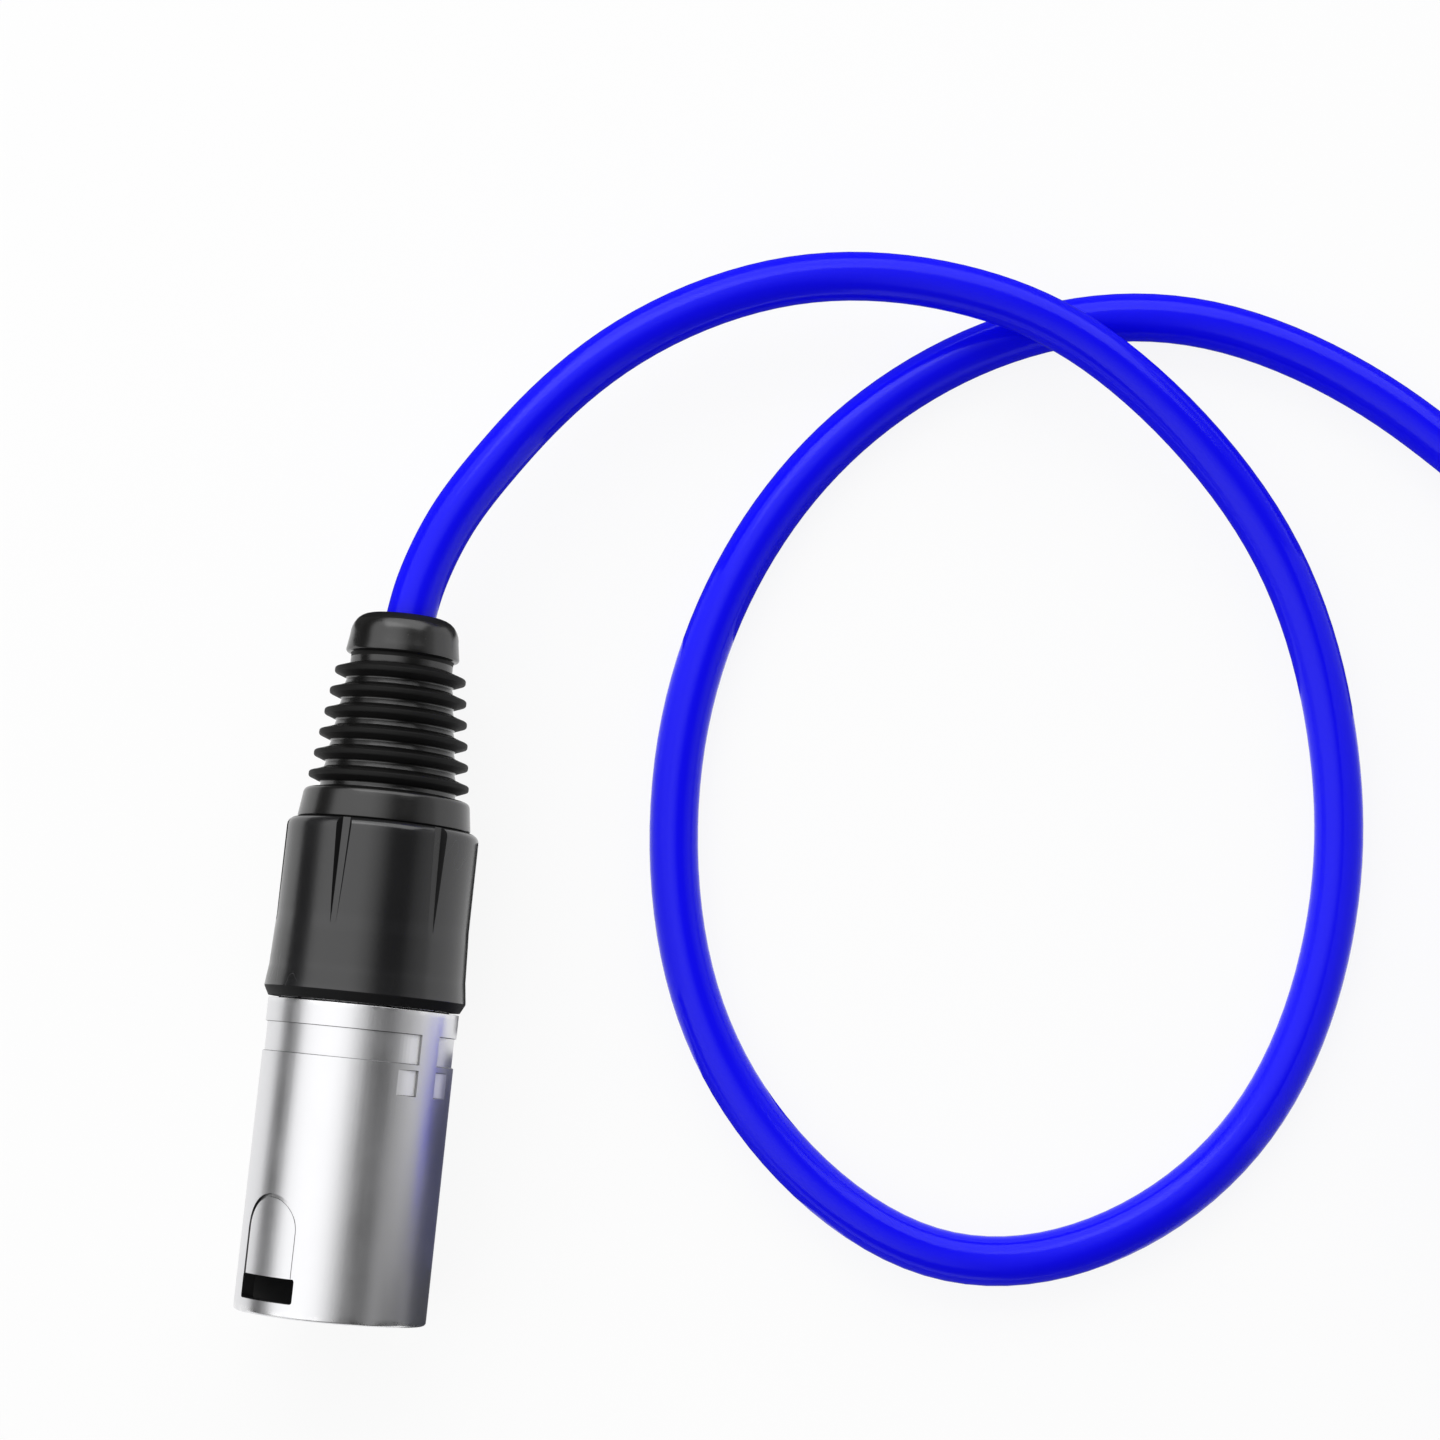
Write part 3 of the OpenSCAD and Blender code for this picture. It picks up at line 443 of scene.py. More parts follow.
def repeated_tree():
    """Repeats a shape in a row or round the Z axis."""
    g = Shape("repeated_piece", lengths=("First Turn", "Turn"), counts=("Count",),
              vectors=("Step",))
    index = g.add("GeometryNodeInputIndex")
    place = g.add("ShaderNodeVectorMath", {"operation": "SCALE"}, {0: g["Step"], "Scale": index})
    points = g.add("GeometryNodePoints", None, {"Count": g["Count"], "Position": place})
    turn = g.xyz(z=index * g["Turn"] + g["First Turn"])
    return g.closed(g.add("GeometryNodeInstanceOnPoints", None, {
        "Points": points, "Instance": g["Geometry"], "Rotation": turn}))


def swept_tree(name, strap):
    """Sweeps a round or a flat section along a path, and keeps each point's straightened place."""
    g = Shape(name, lengths=("Width", "Thickness", "Corner"), counts=("Facets",))
    path = g.add("GeometryNodeMeshToCurve", None, {"Mesh": g["Geometry"]})
    if strap:
        path = g.add("GeometryNodeSetCurveNormal", {"mode": "FREE"}, {
            "Curve": path, "Normal": (1, 0, 0)})
        flat = g.add("GeometryNodeCurvePrimitiveQuadrilateral", None, {
            "Width": g["Width"], "Height": g["Thickness"]})
        section = g.add("GeometryNodeFilletCurve", {"mode": "POLY"}, {
            "Curve": flat, "Radius": g["Corner"], "Count": g["Facets"]})
    else:
        section = g.add("GeometryNodeCurvePrimitiveCircle", None, {
            "Resolution": g["Facets"], "Radius": g["Width"] / 2})
    along = g.add("GeometryNodeSplineParameter", out="Length")
    path = g.stored(path, "along", "FLOAT", along)
    section = g.stored(section, "across", "FLOAT_VECTOR", g.add("GeometryNodeInputPosition"))
    swept = g.add("GeometryNodeCurveToMesh", None, {
        "Curve": path, "Profile Curve": section, "Fill Caps": True})
    across, reached = (
        g.add("GeometryNodeInputNamedAttribute", {"data_type": kind}, {"Name": label})
        for label, kind in (("across", "FLOAT_VECTOR"), ("along", "FLOAT")))
    straight = g.vector("ADD", across, g.xyz(z=reached))
    return g.closed(g.stored(swept, "straight", "FLOAT_VECTOR", straight))


def thread_tree():
    """Winds a round bead into a screw thread round the Z axis."""
    g = Shape("thread", lengths=("Radius", "Bead", "Turns", "Pitch", "Start"), counts=("Facets",))
    helix = g.add("GeometryNodeCurveSpiral", None, {
        "Resolution": g["Facets"], "Rotations": g["Turns"], "Start Radius": g["Radius"],
        "End Radius": g["Radius"], "Height": g["Turns"] * g["Pitch"]})
    bead = g.add("GeometryNodeCurvePrimitiveCircle", None, {"Resolution": 8, "Radius": g["Bead"]})
    wound = g.add("GeometryNodeCurveToMesh", None, {
        "Curve": helix, "Profile Curve": bead, "Fill Caps": True})
    return g.closed(g.add("GeometryNodeTransform", None, {
        "Geometry": wound, "Translation": g.xyz(z=g["Start"])}))


def stitched_tree():
    """Lays stitches of thread along paths, end to end."""
    g = Shape("stitches", lengths=("Spacing", "Length", "Thickness"))
    path = g.add("GeometryNodeMeshToCurve", None, {"Mesh": g["Geometry"]})
    points = g.add("GeometryNodeResampleCurve", {"mode": "LENGTH"}, {
        "Curve": path, "Length": g["Spacing"]})
    ball = g.add("GeometryNodeMeshUVSphere", None, {"Segments": 6, "Rings": 4, "Radius": 0.5})
    size = g.xyz(g["Thickness"], g["Thickness"], g["Length"])
    stitch = g.add("GeometryNodeTransform", None, {"Geometry": ball, "Scale": size})
    lie = g.add("FunctionNodeAlignRotationToVector", {"axis": "Z", "pivot_axis": "X"}, {
        "Vector": g.add("GeometryNodeInputTangent")})
    return g.closed(g.add("GeometryNodeInstanceOnPoints", None, {
        "Points": points, "Instance": stitch, "Rotation": lie}))


# ---------------------------------------------------------------- finishes

class Finish(Graph):
    """Material that is worked out over a surface."""

    def __init__(self, name):
        self.material = bpy.data.materials.new(name)
        super().__init__(blank(self.material))
        self.place = self.add("ShaderNodeTexCoord", out="Object")

    def stretched(self, vector, x, y, z):
        """Coordinates with each axis scaled."""
        return self.vector("MULTIPLY", vector, (x, y, z))

    def kept(self, name, out="Vector"):
        """Attribute that the piece carries."""
        return self.add("ShaderNodeAttribute", {"attribute_name": name}, out=out)

    def noise(self, vector, scale, detail=2.0):
        """Soft noise from 0 to 1, with a scale in patches per metre."""
        return self.add("ShaderNodeTexNoise", None, {
            "Vector": vector, "Scale": scale, "Detail": detail})

    def cells(self, vector, scale):
        """Distance to the nearest of scattered points."""
        return self.add("ShaderNodeTexVoronoi", None, {"Vector": vector, "Scale": scale})

    def mixed(self, factor, a, b):
        """Colour between a and b."""
        a, b = (c if isinstance(c, Signal) else (*c[:3], 1.0) for c in (a, b))
        return self.add("ShaderNodeMix", {"data_type": "RGBA"}, {0: factor, 6: a, 7: b}, out=2)

    def bumped(self, height, millimetres, under=None):
        """Normal of a surface whose relief is so high."""
        sockets = {"Height": height, "Distance": millimetres * MM}
        if under:
            sockets["Normal"] = under
        return self.add("ShaderNodeBump", None, sockets)

    def done(self, **sockets):
        """Ends the material in one surface shader."""
        named = {n.replace("_", " ").title().replace("Ior", "IOR"): v for n, v in sockets.items()}
        return self.ended(self.add("ShaderNodeBsdfPrincipled", None, {
            n: (*v[:3], 1.0) if n.endswith("Color") and not isinstance(v, Signal) else v
            for n, v in named.items()}))

    def ended(self, shader):
        """Ends the material in a shader."""
        self.add("ShaderNodeOutputMaterial", None, {"Surface": shader})
        return self.material


def shade(rgb, factor):
    """Colour made lighter or darker."""
    return tuple(min(1.0, c * factor) for c in rgb)


def satin_metal(s):
    """Nickel finish over a finely blasted shell, rubbed smoother along its edges."""
    f = Finish("satin_nickel")
    grain = f.noise(f.place, 5200, 3)
    drawn = f.noise(f.stretched(f.place, 1, 0.03, 1), 2600, 3)
    handled = f.noise(f.place, 170, 4)
    rubbed = f.kept("edge", "Fac") * f.ramp(f.noise(f.place, 900, 3), (0.35, 0.0), (0.6, 1.0))
    grime, bare = f.kept("grime", "Fac"), f.kept("bare", "Fac")
    tone = f.mixed(handled, shade(s.metal_colour, 0.93), shade(s.metal_colour, 1.03))
    # Painted highlight: the flats that the shell marks are made near-white and less metallic.
    tone = f.mixed(bare, tone, (0.93, 0.93, 0.94))
    tone = f.mixed(rubbed * 0.5, tone, (0.90, 0.90, 0.90))
    # Painted shade: the faces that the shell marks are darkened to near-black.
    tone = f.mixed(grime, tone, (0.05, 0.05, 0.052))
    rough = (handled * 0.12 + grain * 0.08 + drawn * 0.04 - rubbed * 0.08
             + (s.metal_roughness - 0.12))
    return f.done(base_color=tone, metallic=1.0 - bare * 0.7, roughness=rough,
                  normal=f.bumped(grain * 0.75 + drawn * 0.25, 0.006))


def painted_shade_finish(name, rgb, gloss):
    """Dull black surface for painted shade, as inside a shell and along moulded edges."""
    f = Finish(name)
    cloud = f.noise(f.place, 600, 3)
    tone = f.mixed(cloud, shade(rgb, 0.7), shade(rgb, 1.5))
    return f.done(base_color=tone, specular_ior_level=gloss, roughness=cloud * 0.2 + 0.5,
                  normal=f.bumped(f.noise(f.place, 4000, 2), 0.006))


def moulded(name, rgb, roughness, grain_mm, grain_scale, polish, scuffed=0.0, gloss=0.5):
    """Moulded plastic with a fine grain, flow marks, polished edges and, if wanted, scuffs."""
    f = Finish(name)
    grain = f.noise(f.place, grain_scale, 2)
    flow = f.noise(f.stretched(f.place, 1, 0.35, 1), 260, 4)
    touched = f.noise(f.place, 110, 3)
    edge = f.kept("edge", "Fac") * polish
    tone = f.mixed(flow, shade(rgb, 0.85), shade(rgb, 1.18))
    tone = f.mixed(edge * touched, tone, shade(rgb, 2.6))
    height = grain * 0.8 + flow * 0.2
    rough = grain * 0.07 + touched * 0.14 - edge * 0.06 + (roughness - 0.10)
    if scuffed:
        wander = f.stretched(f.noise(f.place, 240, 2).other("Color"), 0.004, 0.004, 0.004)
        drift = f.vector("ADD", f.place, wander)
        hair = f.noise(f.stretched(drift, 1, 0.5, 1), 420, 0)
        thin = f.ramp((hair - 0.5).worked("ABSOLUTE"), (0.0, 1.0), (0.010, 0.0))
        patch = f.ramp(f.noise(f.place, 95, 2), (0.56, 0.0), (0.62, 1.0))
        scuff = thin * patch * scuffed
        tone = f.mixed(scuff, tone, shade(rgb, 7))
        height = height - scuff * 0.8
        rough = rough + scuff * 0.2
    return f.done(base_color=tone, roughness=rough, specular_ior_level=gloss,
                  normal=f.bumped(height, grain_mm))


def rubber(s):
    """Soft rubber with a faint bloom and dust that stays in the grooves."""
    f = Finish("boot_rubber")
    grain = f.noise(f.place, 3800, 3)
    bloom = f.noise(f.place, 130, 4)
    dusty = f.ramp(bloom, (0.5, 0.0), (0.7, 1.0))
    specks = f.ramp(f.cells(f.place, 900), (0.0, 1.0), (0.10, 0.0)) * dusty
    tone = f.mixed(bloom, shade(s.boot_colour, 0.8), shade(s.boot_colour, 1.25))
    tone = f.mixed(specks * 0.35, tone, (0.09, 0.088, 0.085))
    rough = bloom * 0.10 + grain * 0.06 + specks * 0.1 + 0.15
    return f.done(base_color=tone, roughness=rough, specular_ior_level=0.8,
                  normal=f.bumped(grain, 0.004))


def jacket(s, name, straightened):
    """Glossy jacket with faint die lines, and the lay of the twisted cores showing through."""
    f = Finish(name)
    lay_pitch = 0.034
    if straightened:
        lie = f.stretched(f.kept("straight"), MM, MM, MM)
        x = f.parts(lie)
        turn = x.other("Y").worked("ARCTAN2", x)
        lay = (turn * 2 + x.other("Z") * (math.tau / lay_pitch)).worked("SINE")
    else:
        lie, lay = f.place, f.noise(f.place, 60, 1)
    lines = f.noise(f.stretched(lie, 1, 1, 0.012), 1500, 2)
    peel = f.noise(lie, 900, 3)
    tint = f.noise(f.stretched(lie, 1, 1, 0.1), 120, 3)
    smear = f.ramp(f.noise(f.stretched(lie, 1, 1, 0.25), 260, 3), (0.5, 0.0), (0.75, 1.0))
    tone = f.mixed(tint, shade(s.jacket_colour, 0.94), shade(s.jacket_colour, 1.05))
    rough = smear * 0.10 + peel * 0.04 + lines * 0.04 + 0.11
    body = f.bumped(lay * 0.5 + 0.5, 0.03)
    return f.done(base_color=tone, roughness=rough, specular_ior_level=0.19,
                  normal=f.bumped(peel * 0.6 + lines * 0.4, 0.006, body))


def plated(s):
    """Bright plated contact with a light tarnish."""
    f = Finish("plated_contact")
    tarnish = f.ramp(f.noise(f.place, 700, 4), (0.45, 0.0), (0.8, 1.0))
    rings = f.noise(f.stretched(f.place, 0.2, 1, 0.2), 9000, 2)
    tone = f.mixed(tarnish * 0.5, s.contact_colour, (0.62, 0.55, 0.44))
    return f.done(base_color=tone, metallic=1.0, roughness=rings * 0.1 + tarnish * 0.14 + 0.16,
                  normal=f.bumped(rings, 0.003))


def sprung(s):
    """Rolled spring strip."""
    f = Finish("spring_strip")
    rolled = f.noise(f.stretched(f.place, 1, 0.03, 1), 6000, 3)
    tone = f.mixed(f.noise(f.place, 500, 3), shade(s.spring_colour, 0.85), s.spring_colour)
    return f.done(base_color=tone, metallic=1.0, roughness=rolled * 0.2 + 0.22,
                  normal=f.bumped(rolled, 0.003))


def insulation(name, rgb):
    """Insulation of a core."""
    f = Finish(name)
    lines = f.noise(f.stretched(f.place, 1, 0.05, 1), 3000, 2)
    tone = f.mixed(f.noise(f.place, 400, 3), shade(rgb, 0.9), shade(rgb, 1.06))
    return f.done(base_color=tone, roughness=lines * 0.15 + 0.3, normal=f.bumped(lines, 0.006))


def strands(s):
    """Bare stranded copper."""
    f = Finish("bare_strands")
    x = f.parts(f.place)
    strand = (x.other("Y") + (x + x.other("Z")) * 0.9) * 16000
    tarnish = f.noise(f.place, 900, 3)
    tone = f.mixed(tarnish, shade(s.copper_colour, 0.72), s.copper_colour)
    return f.done(base_color=tone, metallic=1.0, roughness=tarnish * 0.25 + 0.25,
                  normal=f.bumped(strand.worked("SINE") * 0.5 + 0.5, 0.05))


def webbing(name, rgb):
    """Woven strap with a napped pile, which follows the strap."""
    f = Finish(name)
    yarn = 0.75
    lie = f.kept("straight")
    x = f.parts(lie)
    warp, weft = ((way * (math.tau / yarn)).worked("SINE") for way in (x, x.other("Z")))
    weave = warp * weft * 0.5 + 0.5
    metres = f.stretched(lie, MM, MM, MM)
    pile, worn = f.noise(metres, 2600, 4), f.noise(metres, 120, 3)
    tone = f.mixed(weave * 0.5 + pile * 0.5, shade(rgb, 0.55), shade(rgb, 1.9))
    tone = f.mixed(worn * 0.25, tone, shade(rgb, 3.0))
    return f.done(base_color=tone, roughness=pile * 0.15 + 0.78, sheen_weight=0.35,
                  sheen_roughness=0.4, normal=f.bumped(weave * 0.55 + pile * 0.45, 0.16))


def floor_finish(s):
    """Pale floor that a camera and a mirror see nearly white, with the shadow kept."""
    f = Finish("pale_floor")
    tone = f.mixed(f.noise(f.place, 300, 2), shade(s.floor_colour, 0.995), s.floor_colour)
    matt = f.add("ShaderNodeBsdfDiffuse", None, {"Color": tone})
    glow = f.add("ShaderNodeEmission", None, {"Color": (1, 1, 1, 1), "Strength": 1.0})
    ray = f.add("ShaderNodeLightPath", out="Is Camera Ray")
    mirrored = ray.other("Is Glossy Ray") + ray.other("Is Transmission Ray")
    seen = (ray + mirrored).worked("MINIMUM", 1.0)
    return f.ended(f.add("ShaderNodeMixShader", None, {
        0: seen * s.floor_lift, 1: matt, 2: glow}))


def finishes(s):
    """Every finish by the name of its slot."""
    return {
        "satin_metal": satin_metal(s),
        # The next three finishes are painted shade, put where shade falls in the bore, on the
        # collars and on the boots.
        "dark_bore": painted_shade_finish("blackened_bore", (0.009, 0.009, 0.010), 0.25),
        "dull_collar": painted_shade_finish("dull_collar_edge", shade(s.collar_colour, 0.5), 0.15),
        "dull_rubber": painted_shade_finish("dull_rib_edge", shade(s.boot_colour, 0.6), 0.2),
        "insert_plastic": moulded(
            "insert_plastic", s.insert_colour, roughness=0.42, grain_mm=0.012, grain_scale=3200,
            polish=0.3),
        "contact_metal": plated(s),
        "spring_metal": sprung(s),
        "chuck_plastic": moulded(
            "chuck_plastic", s.chuck_colour, roughness=0.40, grain_mm=0.008, grain_scale=2400,
            polish=0.0),
        "collar_plastic": moulded(
            "collar_plastic", s.collar_colour, roughness=0.22, grain_mm=0.004, grain_scale=3000,
            polish=0.5, scuffed=0.35, gloss=0.8),
        "boot_rubber": rubber(s),
        "latch_black": moulded(
            "latch_plastic", s.latch_colour, roughness=0.34, grain_mm=0.006, grain_scale=3000,
            polish=0.5),
        "copper": strands(s),
        "core_red": insulation("core_red", s.hot_colour),
        "core_white": insulation("core_white", s.cold_colour),
        "blue_jacket": jacket(s, "blue_jacket", straightened=True),
        "jacket_end": jacket(s, "blue_jacket_end", straightened=False),
        "tie_fabric": webbing("strap_webbing", s.strap_colour),
        "tie_thread": insulation("strap_thread", shade(s.strap_colour, 3)),
    }


# ---------------------------------------------------------------- shapes

KIT = SimpleNamespace()


def ready():
    """Makes the node trees and the finishes once, before the first piece."""
    if not hasattr(KIT, "finish"):
        KIT.turned, KIT.repeated, KIT.thread, KIT.stitched = (
            turned_tree(), repeated_tree(), thread_tree(), stitched_tree())
        KIT.cable, KIT.strap = swept_tree("cable", False), swept_tree("strap", True)
        KIT.finish = finishes(sizes())
    return sizes()


def linked(name, data):
    """Object that holds some data, in the scene."""
    obj = bpy.data.objects.new(name, data)
    bpy.context.scene.collection.objects.link(obj)
    return obj


def drawn(name, points, edges=(), faces=()):
    """Object with a mesh of points in millimetres."""
    mesh = bpy.data.meshes.new(name)
    mesh.from_pydata([Vector(p) for p in points], edges, faces)
    return linked(name, mesh)


def chain(name, points, closed=False):
    """Object with one line through its points."""
    n = len(points)
    return drawn(name, points, [(i, (i + 1) % n) for i in range(n if closed else n - 1)])


def settled(obj):
    """Keeps what the modifiers make as the object's own mesh, and removes them."""
    made = bpy.data.meshes.new_from_object(
        obj.evaluated_get(bpy.context.evaluated_depsgraph_get()))
    obj.modifiers.clear()
    old, obj.data = obj.data, made
    bpy.data.meshes.remove(old)
    return made


def baked(obj):
    """Settles an object into a closed mesh with faces that point outwards."""
    made = settled(obj)
    bm = bmesh.new()
    bm.from_mesh(made)
    bmesh.ops.remove_doubles(bm, verts=bm.verts, dist=2e-4)
    bmesh.ops.dissolve_degenerate(bm, edges=bm.edges, dist=1e-5)
    bmesh.ops.recalc_face_normals(bm, faces=bm.faces)
    bm.to_mesh(made)
    bm.free()
    return obj


def noted(obj, name, domain, values):
    """Stores a number for each of a mesh's points or faces."""
    obj.data.attributes.new(name, "FLOAT", domain).data.foreach_set("value", values)


def grown(obj, tree, finish, **values):
    """Runs an object through a node tree and keeps what it makes."""
    modifier = obj.modifiers.new(tree.name, "NODES")
    modifier.node_group = tree
    named = {n.replace("_", " ").title(): v for n, v in values.items()}
    named["Finish"] = KIT.finish[finish]
    for item in tree.interface.items_tree:
        if item.in_out == "INPUT" and item.name in named:
            modifier[item.identifier] = named[item.name]
    return baked(obj)


def rounded(points, closed=True, steps=5, guard=0.5):
    """Outline of (x, y, fillet) points with arcs at its corners, as (x, y, edge) points.

    Edge is 1 on an arc and 0 at a guard point a little way off, so that it fades out between them.
    A fillet takes up no more than about half of the lines beside it.
    """
    runs, last, most = [], len(points) - 1, 0.49
    for i, (*at, r) in enumerate(points):
        p, a, b = Vector(at), Vector(points[i - 1][:2]), Vector(points[(i + 1) % len(points)][:2])
        if not r or (not closed and i in (0, last)):
            runs.append([(p, 0.0)])
            continue
        u, v = (a - p).normalized(), (b - p).normalized()
        half = u.angle(v) / 2
        t = min(r / math.tan(half), most * (a - p).length, most * (b - p).length)
        centre = p + (u + v).normalized() * (t / math.cos(half))
        start, end = p + u * t - centre, p + v * t - centre
        sweep = start.angle_signed(end)
        runs.append([(centre + Matrix.Rotation(-sweep * k / steps, 2) @ start, 1.0)
                     for k in range(steps + 1)])
    out = []
    for i, run in enumerate(runs):
        out += run
        if i == last and not closed:
            break
        (p, edge_a), (q, edge_b) = run[-1], runs[(i + 1) % len(runs)][0]
        if (q - p).length > 3 * guard:
            step = (q - p).normalized() * guard
            out += [(p + step, 0.0)] * (edge_a > 0) + [(q - step, 0.0)] * (edge_b > 0)
    return [(p.x, p.y, edge) for p, edge in out]


def turned(name, finish, points, closed=True, facets=None, steps=5):
    """Piece turned round its axis from an outline of (radius, z, fillet) points."""
    line = rounded(points, closed, steps)
    obj = chain(name, [(r - SWEEP_R, -z, 0) for r, z, _ in line], closed)
    noted(obj, "edge", "POINT", [edge for _, _, edge in line])
    return grown(obj, KIT.turned, finish, facets=facets or sizes().shell_facets)


def lofted(name, rings):
    """Closed solid through rings of points."""
    n, last = len(rings[0]), len(rings) - 1
    faces = [(i * n + k, i * n + (k + 1) % n, (i + 1) * n + (k + 1) % n, (i + 1) * n + k)
             for i in range(last) for k in range(n)]
    faces += [tuple(range(n)), tuple(range(last * n, (last + 1) * n))]
    return baked(drawn(name, [p for ring in rings for p in ring], faces=faces))


def box(name, low, high, corner):
    """Block between two corners, with its edges along Y rounded."""
    (x, y, z), (far_x, far_y, far_z) = low, high
    ring = rounded([(x, z, corner), (far_x, z, corner), (far_x, far_z, corner), (x, far_z, corner)],
                   guard=math.inf)
    return lofted(name, [[(u, w, v) for u, v, _ in ring] for w in (y, far_y)])


def rod(name, centre, radius, start, end, axis="Z", sides=48, top=None):
    """Round cutter along an axis, with another radius at its end if wanted."""
    turns = [math.tau * k / sides for k in range(sides)]
    rings = []
    for at, r in ((start, radius), (end, radius if top is None else top)):
        ring = [(centre[0] + r * math.cos(a), centre[1] + r * math.sin(a)) for a in turns]
        rings.append([(x, y, at) if axis == "Z" else (at, x, y) for x, y in ring])
    return lofted(name, rings)


def arc_cut(radius, depths, start, end, z, length, steps):
    """Cutter for a shallow recess in a round surface, from (share of the span, depth) pairs."""
    lean, proud = 0.09, 0.3
    rings = []
    for i in range(steps + 1):
        turn = math.radians(start + (end - start) * i / steps) - math.pi / 2
        leant = {0: lean / radius, steps: -lean / radius}.get(i, 0.0)
        (x, y), (far_x, far_y) = (
            (r * math.cos(a), r * math.sin(a))
            for r, a in ((radius - read_off(depths, i / steps), turn + leant),
                         (radius + proud, turn - leant)))
        rings.append([(x, y, z + lean), (far_x, far_y, z - lean),
                      (far_x, far_y, z + length + lean), (x, y, z + length - lean)])
    return lofted("recess", rings)


def read_off(pairs, at):
    """Value at a place on a line through (place, value) pairs."""
    for (a, low), (b, high) in zip(pairs, pairs[1:]):
        if at <= b:
            return low + (high - low) * (at - a) / (b - a)
    return pairs[-1][1]


def heading(line, i):
    """Direction of a flat line at one of its points."""
    return (Vector(line[min(i + 1, len(line) - 1)]) - Vector(line[max(i - 1, 0)])).normalized()


def line_cut(path, width, radius, depth):
    """Cutter for a narrow groove along a path of (x, z) points seen along the latch direction.

    It is cut in full on one side and fades to a quarter of its depth on the other.
    """
    low, high, proud = GROOVE_FLOOR * width, GROOVE_TOP * width, 0.3
    rings = []
    for i, p in enumerate(path):
        ahead = heading(path, i)
        side = Vector((-ahead.y, ahead.x))
        floor = -depth * min(max(0.6 - p[0] / 5, 0.25), 1.0)
        ring = []
        for off, rise in ((-low, floor), (-high, proud), (high, proud), (low, floor)):
            x, z = Vector(p) + side * off
            turn = math.asin(x / radius)
            ring.append(((radius + rise) * math.sin(turn), -(radius + rise) * math.cos(turn), z))
        rings.append(ring)
    return lofted("groove", rings)


def carve(body, *cutters, how="DIFFERENCE"):
    """Cuts a body with other shapes, which are used up."""
    for cutter in cutters:
        modifier = body.modifiers.new("cut", "BOOLEAN")
        modifier.operation, modifier.object, modifier.solver = how, cutter, "MANIFOLD"
    baked(body)
    for cutter in cutters:
        bpy.data.objects.remove(cutter)
    return body


def repeated(shape, number, step=(0, 0, 0), first=0.0, turn=0.0):
    """A shape repeated in a row or round the axis."""
    return grown(shape, KIT.repeated, "collar_plastic", count=number, step=step,
                 first_turn=first, turn=turn)


def laid(obj, place, body, slot, *nodes, bevel=0.0, sharp=38.0, even=True):
    """Puts a piece in its place in the frame, smooths its shading and gives it to its body."""
    if bevel:
        modifier = obj.modifiers.new("bevel", "BEVEL")
        modifier.width, modifier.segments, modifier.limit_method = bevel, 3, "ANGLE"
        modifier.angle_limit = math.radians(sharp)
        baked(obj)
    obj.data.transform(place)
    if place.determinant() < 0:
        obj.data.flip_normals()
    obj.data.shade_smooth()
    obj.data.set_sharp_from_angle(angle=math.radians(sharp))
    if even:
        obj.modifiers.new("even", "WEIGHTED_NORMAL").keep_sharp = True
        settled(obj)
    obj.data.name = obj.name
    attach(obj, body)
    if nodes:
        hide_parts(*nodes)
    return obj


def dressed(node, finish):
    """Gives a solid that keeps its own shape its finish."""
    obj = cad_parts[node]
    if not obj.material_slots:
        obj.data.materials.append(None)
    for holder in obj.material_slots:
        holder.material = KIT.finish[finish]
    return obj


# ---------------------------------------------------------------- cable

# Points that steer the cable's underside, from the male boot to the coil and on to the female boot.
RUN = (
    (0, 30, 7.55), (0, 32, 7.55), (0.5, 36, 7.55), (1, 39, 7.5), (3, 45, 7.5), (6.5, 51, 7.5),
    (16.5, 65, 7), (35, 75.5, 6.5), (55, 75.5, 6), (70, 70, 4.5), (88.5, 53.5, 2.5), (96, 33.5, 1),
    (98, 15, 0), (93, -6.5, 0), (78.5, -21, 0), (59, -26, 0), (40, -13.5, 0), (30, 3.5, 0),
    (27.5, 26.5, 0), (32.5, 46, 0), (43, 62, 0), (59.5, 73.5, 0), (79, 77, 0), (100, 69, 0),
    (113.5, 58, 0), (128, 53.5, 0.5), (141, 53.5, 1.1), (150, 53.5, 1.1),
)
TAIL = (
    (160, 53.5, 17.6), (165, 53.5, 17.6), (173, 53.5, 17), (186, 53, 15), (199, 46.5, 11.5),
    (208, 35, 8.5), (210, 24.5, 7.55), (210, 21, 7.55), (210, 18, 7.55), (210, 15, 7.55),
)


def smooth(points):
    """Smooth curve steered by its points."""
    p = [Vector(q) for q in points]
    q = [2 * p[0] - p[1], *p, 2 * p[-1] - p[-2]]
    line = []
    for i in range(len(p) - 1):
        for k in range(ROUTE_STEPS):
            t = k / ROUTE_STEPS
            line.append((
                (1 - t) ** 3 * q[i] + (3 * t ** 3 - 6 * t ** 2 + 4) * q[i + 1]
                + (-3 * t ** 3 + 3 * t ** 2 + 3 * t + 1) * q[i + 2] + t ** 3 * q[i + 3]) / 6)
    return [*line, p[-1]]


def ease(t):
    """Eases from 0 to 1 while t goes from 0 to 1."""
    t = min(max(t, 0.0), 1.0)
    return t * t * (3 - 2 * t)


def coil_point(s, u):
    """Underside of the cable u turns into the coil, clockwise from its far side."""
    layer = min(int(u / s.turns_per_layer), s.coil_layers - 1)
    along = u - layer * s.turns_per_layer
    inward = along if layer % 2 == 0 else s.turns_per_layer - along
    r = s.coil_out_r - s.turn_pitch * inward
    a = math.radians(90 - 360 * u)
    climb = sum(ease((u - k * s.turns_per_layer) * 2 + 0.5) for k in range(1, s.coil_layers))
    return Vector((s.coil_x + r * math.cos(a), s.coil_y + r * math.sin(a),
                   s.coil_lift + s.turn_pitch * climb))


def cable_line(s):
    """Centre line of the whole cable between the two boots, raised from its underside."""
    points = round(s.coil_layers * s.turns_per_layer * COIL_STEPS)
    coil = [coil_point(s, i / COIL_STEPS) for i in range(points + 1)]
    return [p + Vector((0, 0, s.cable_r)) for p in smooth(RUN) + coil + smooth(TAIL)]


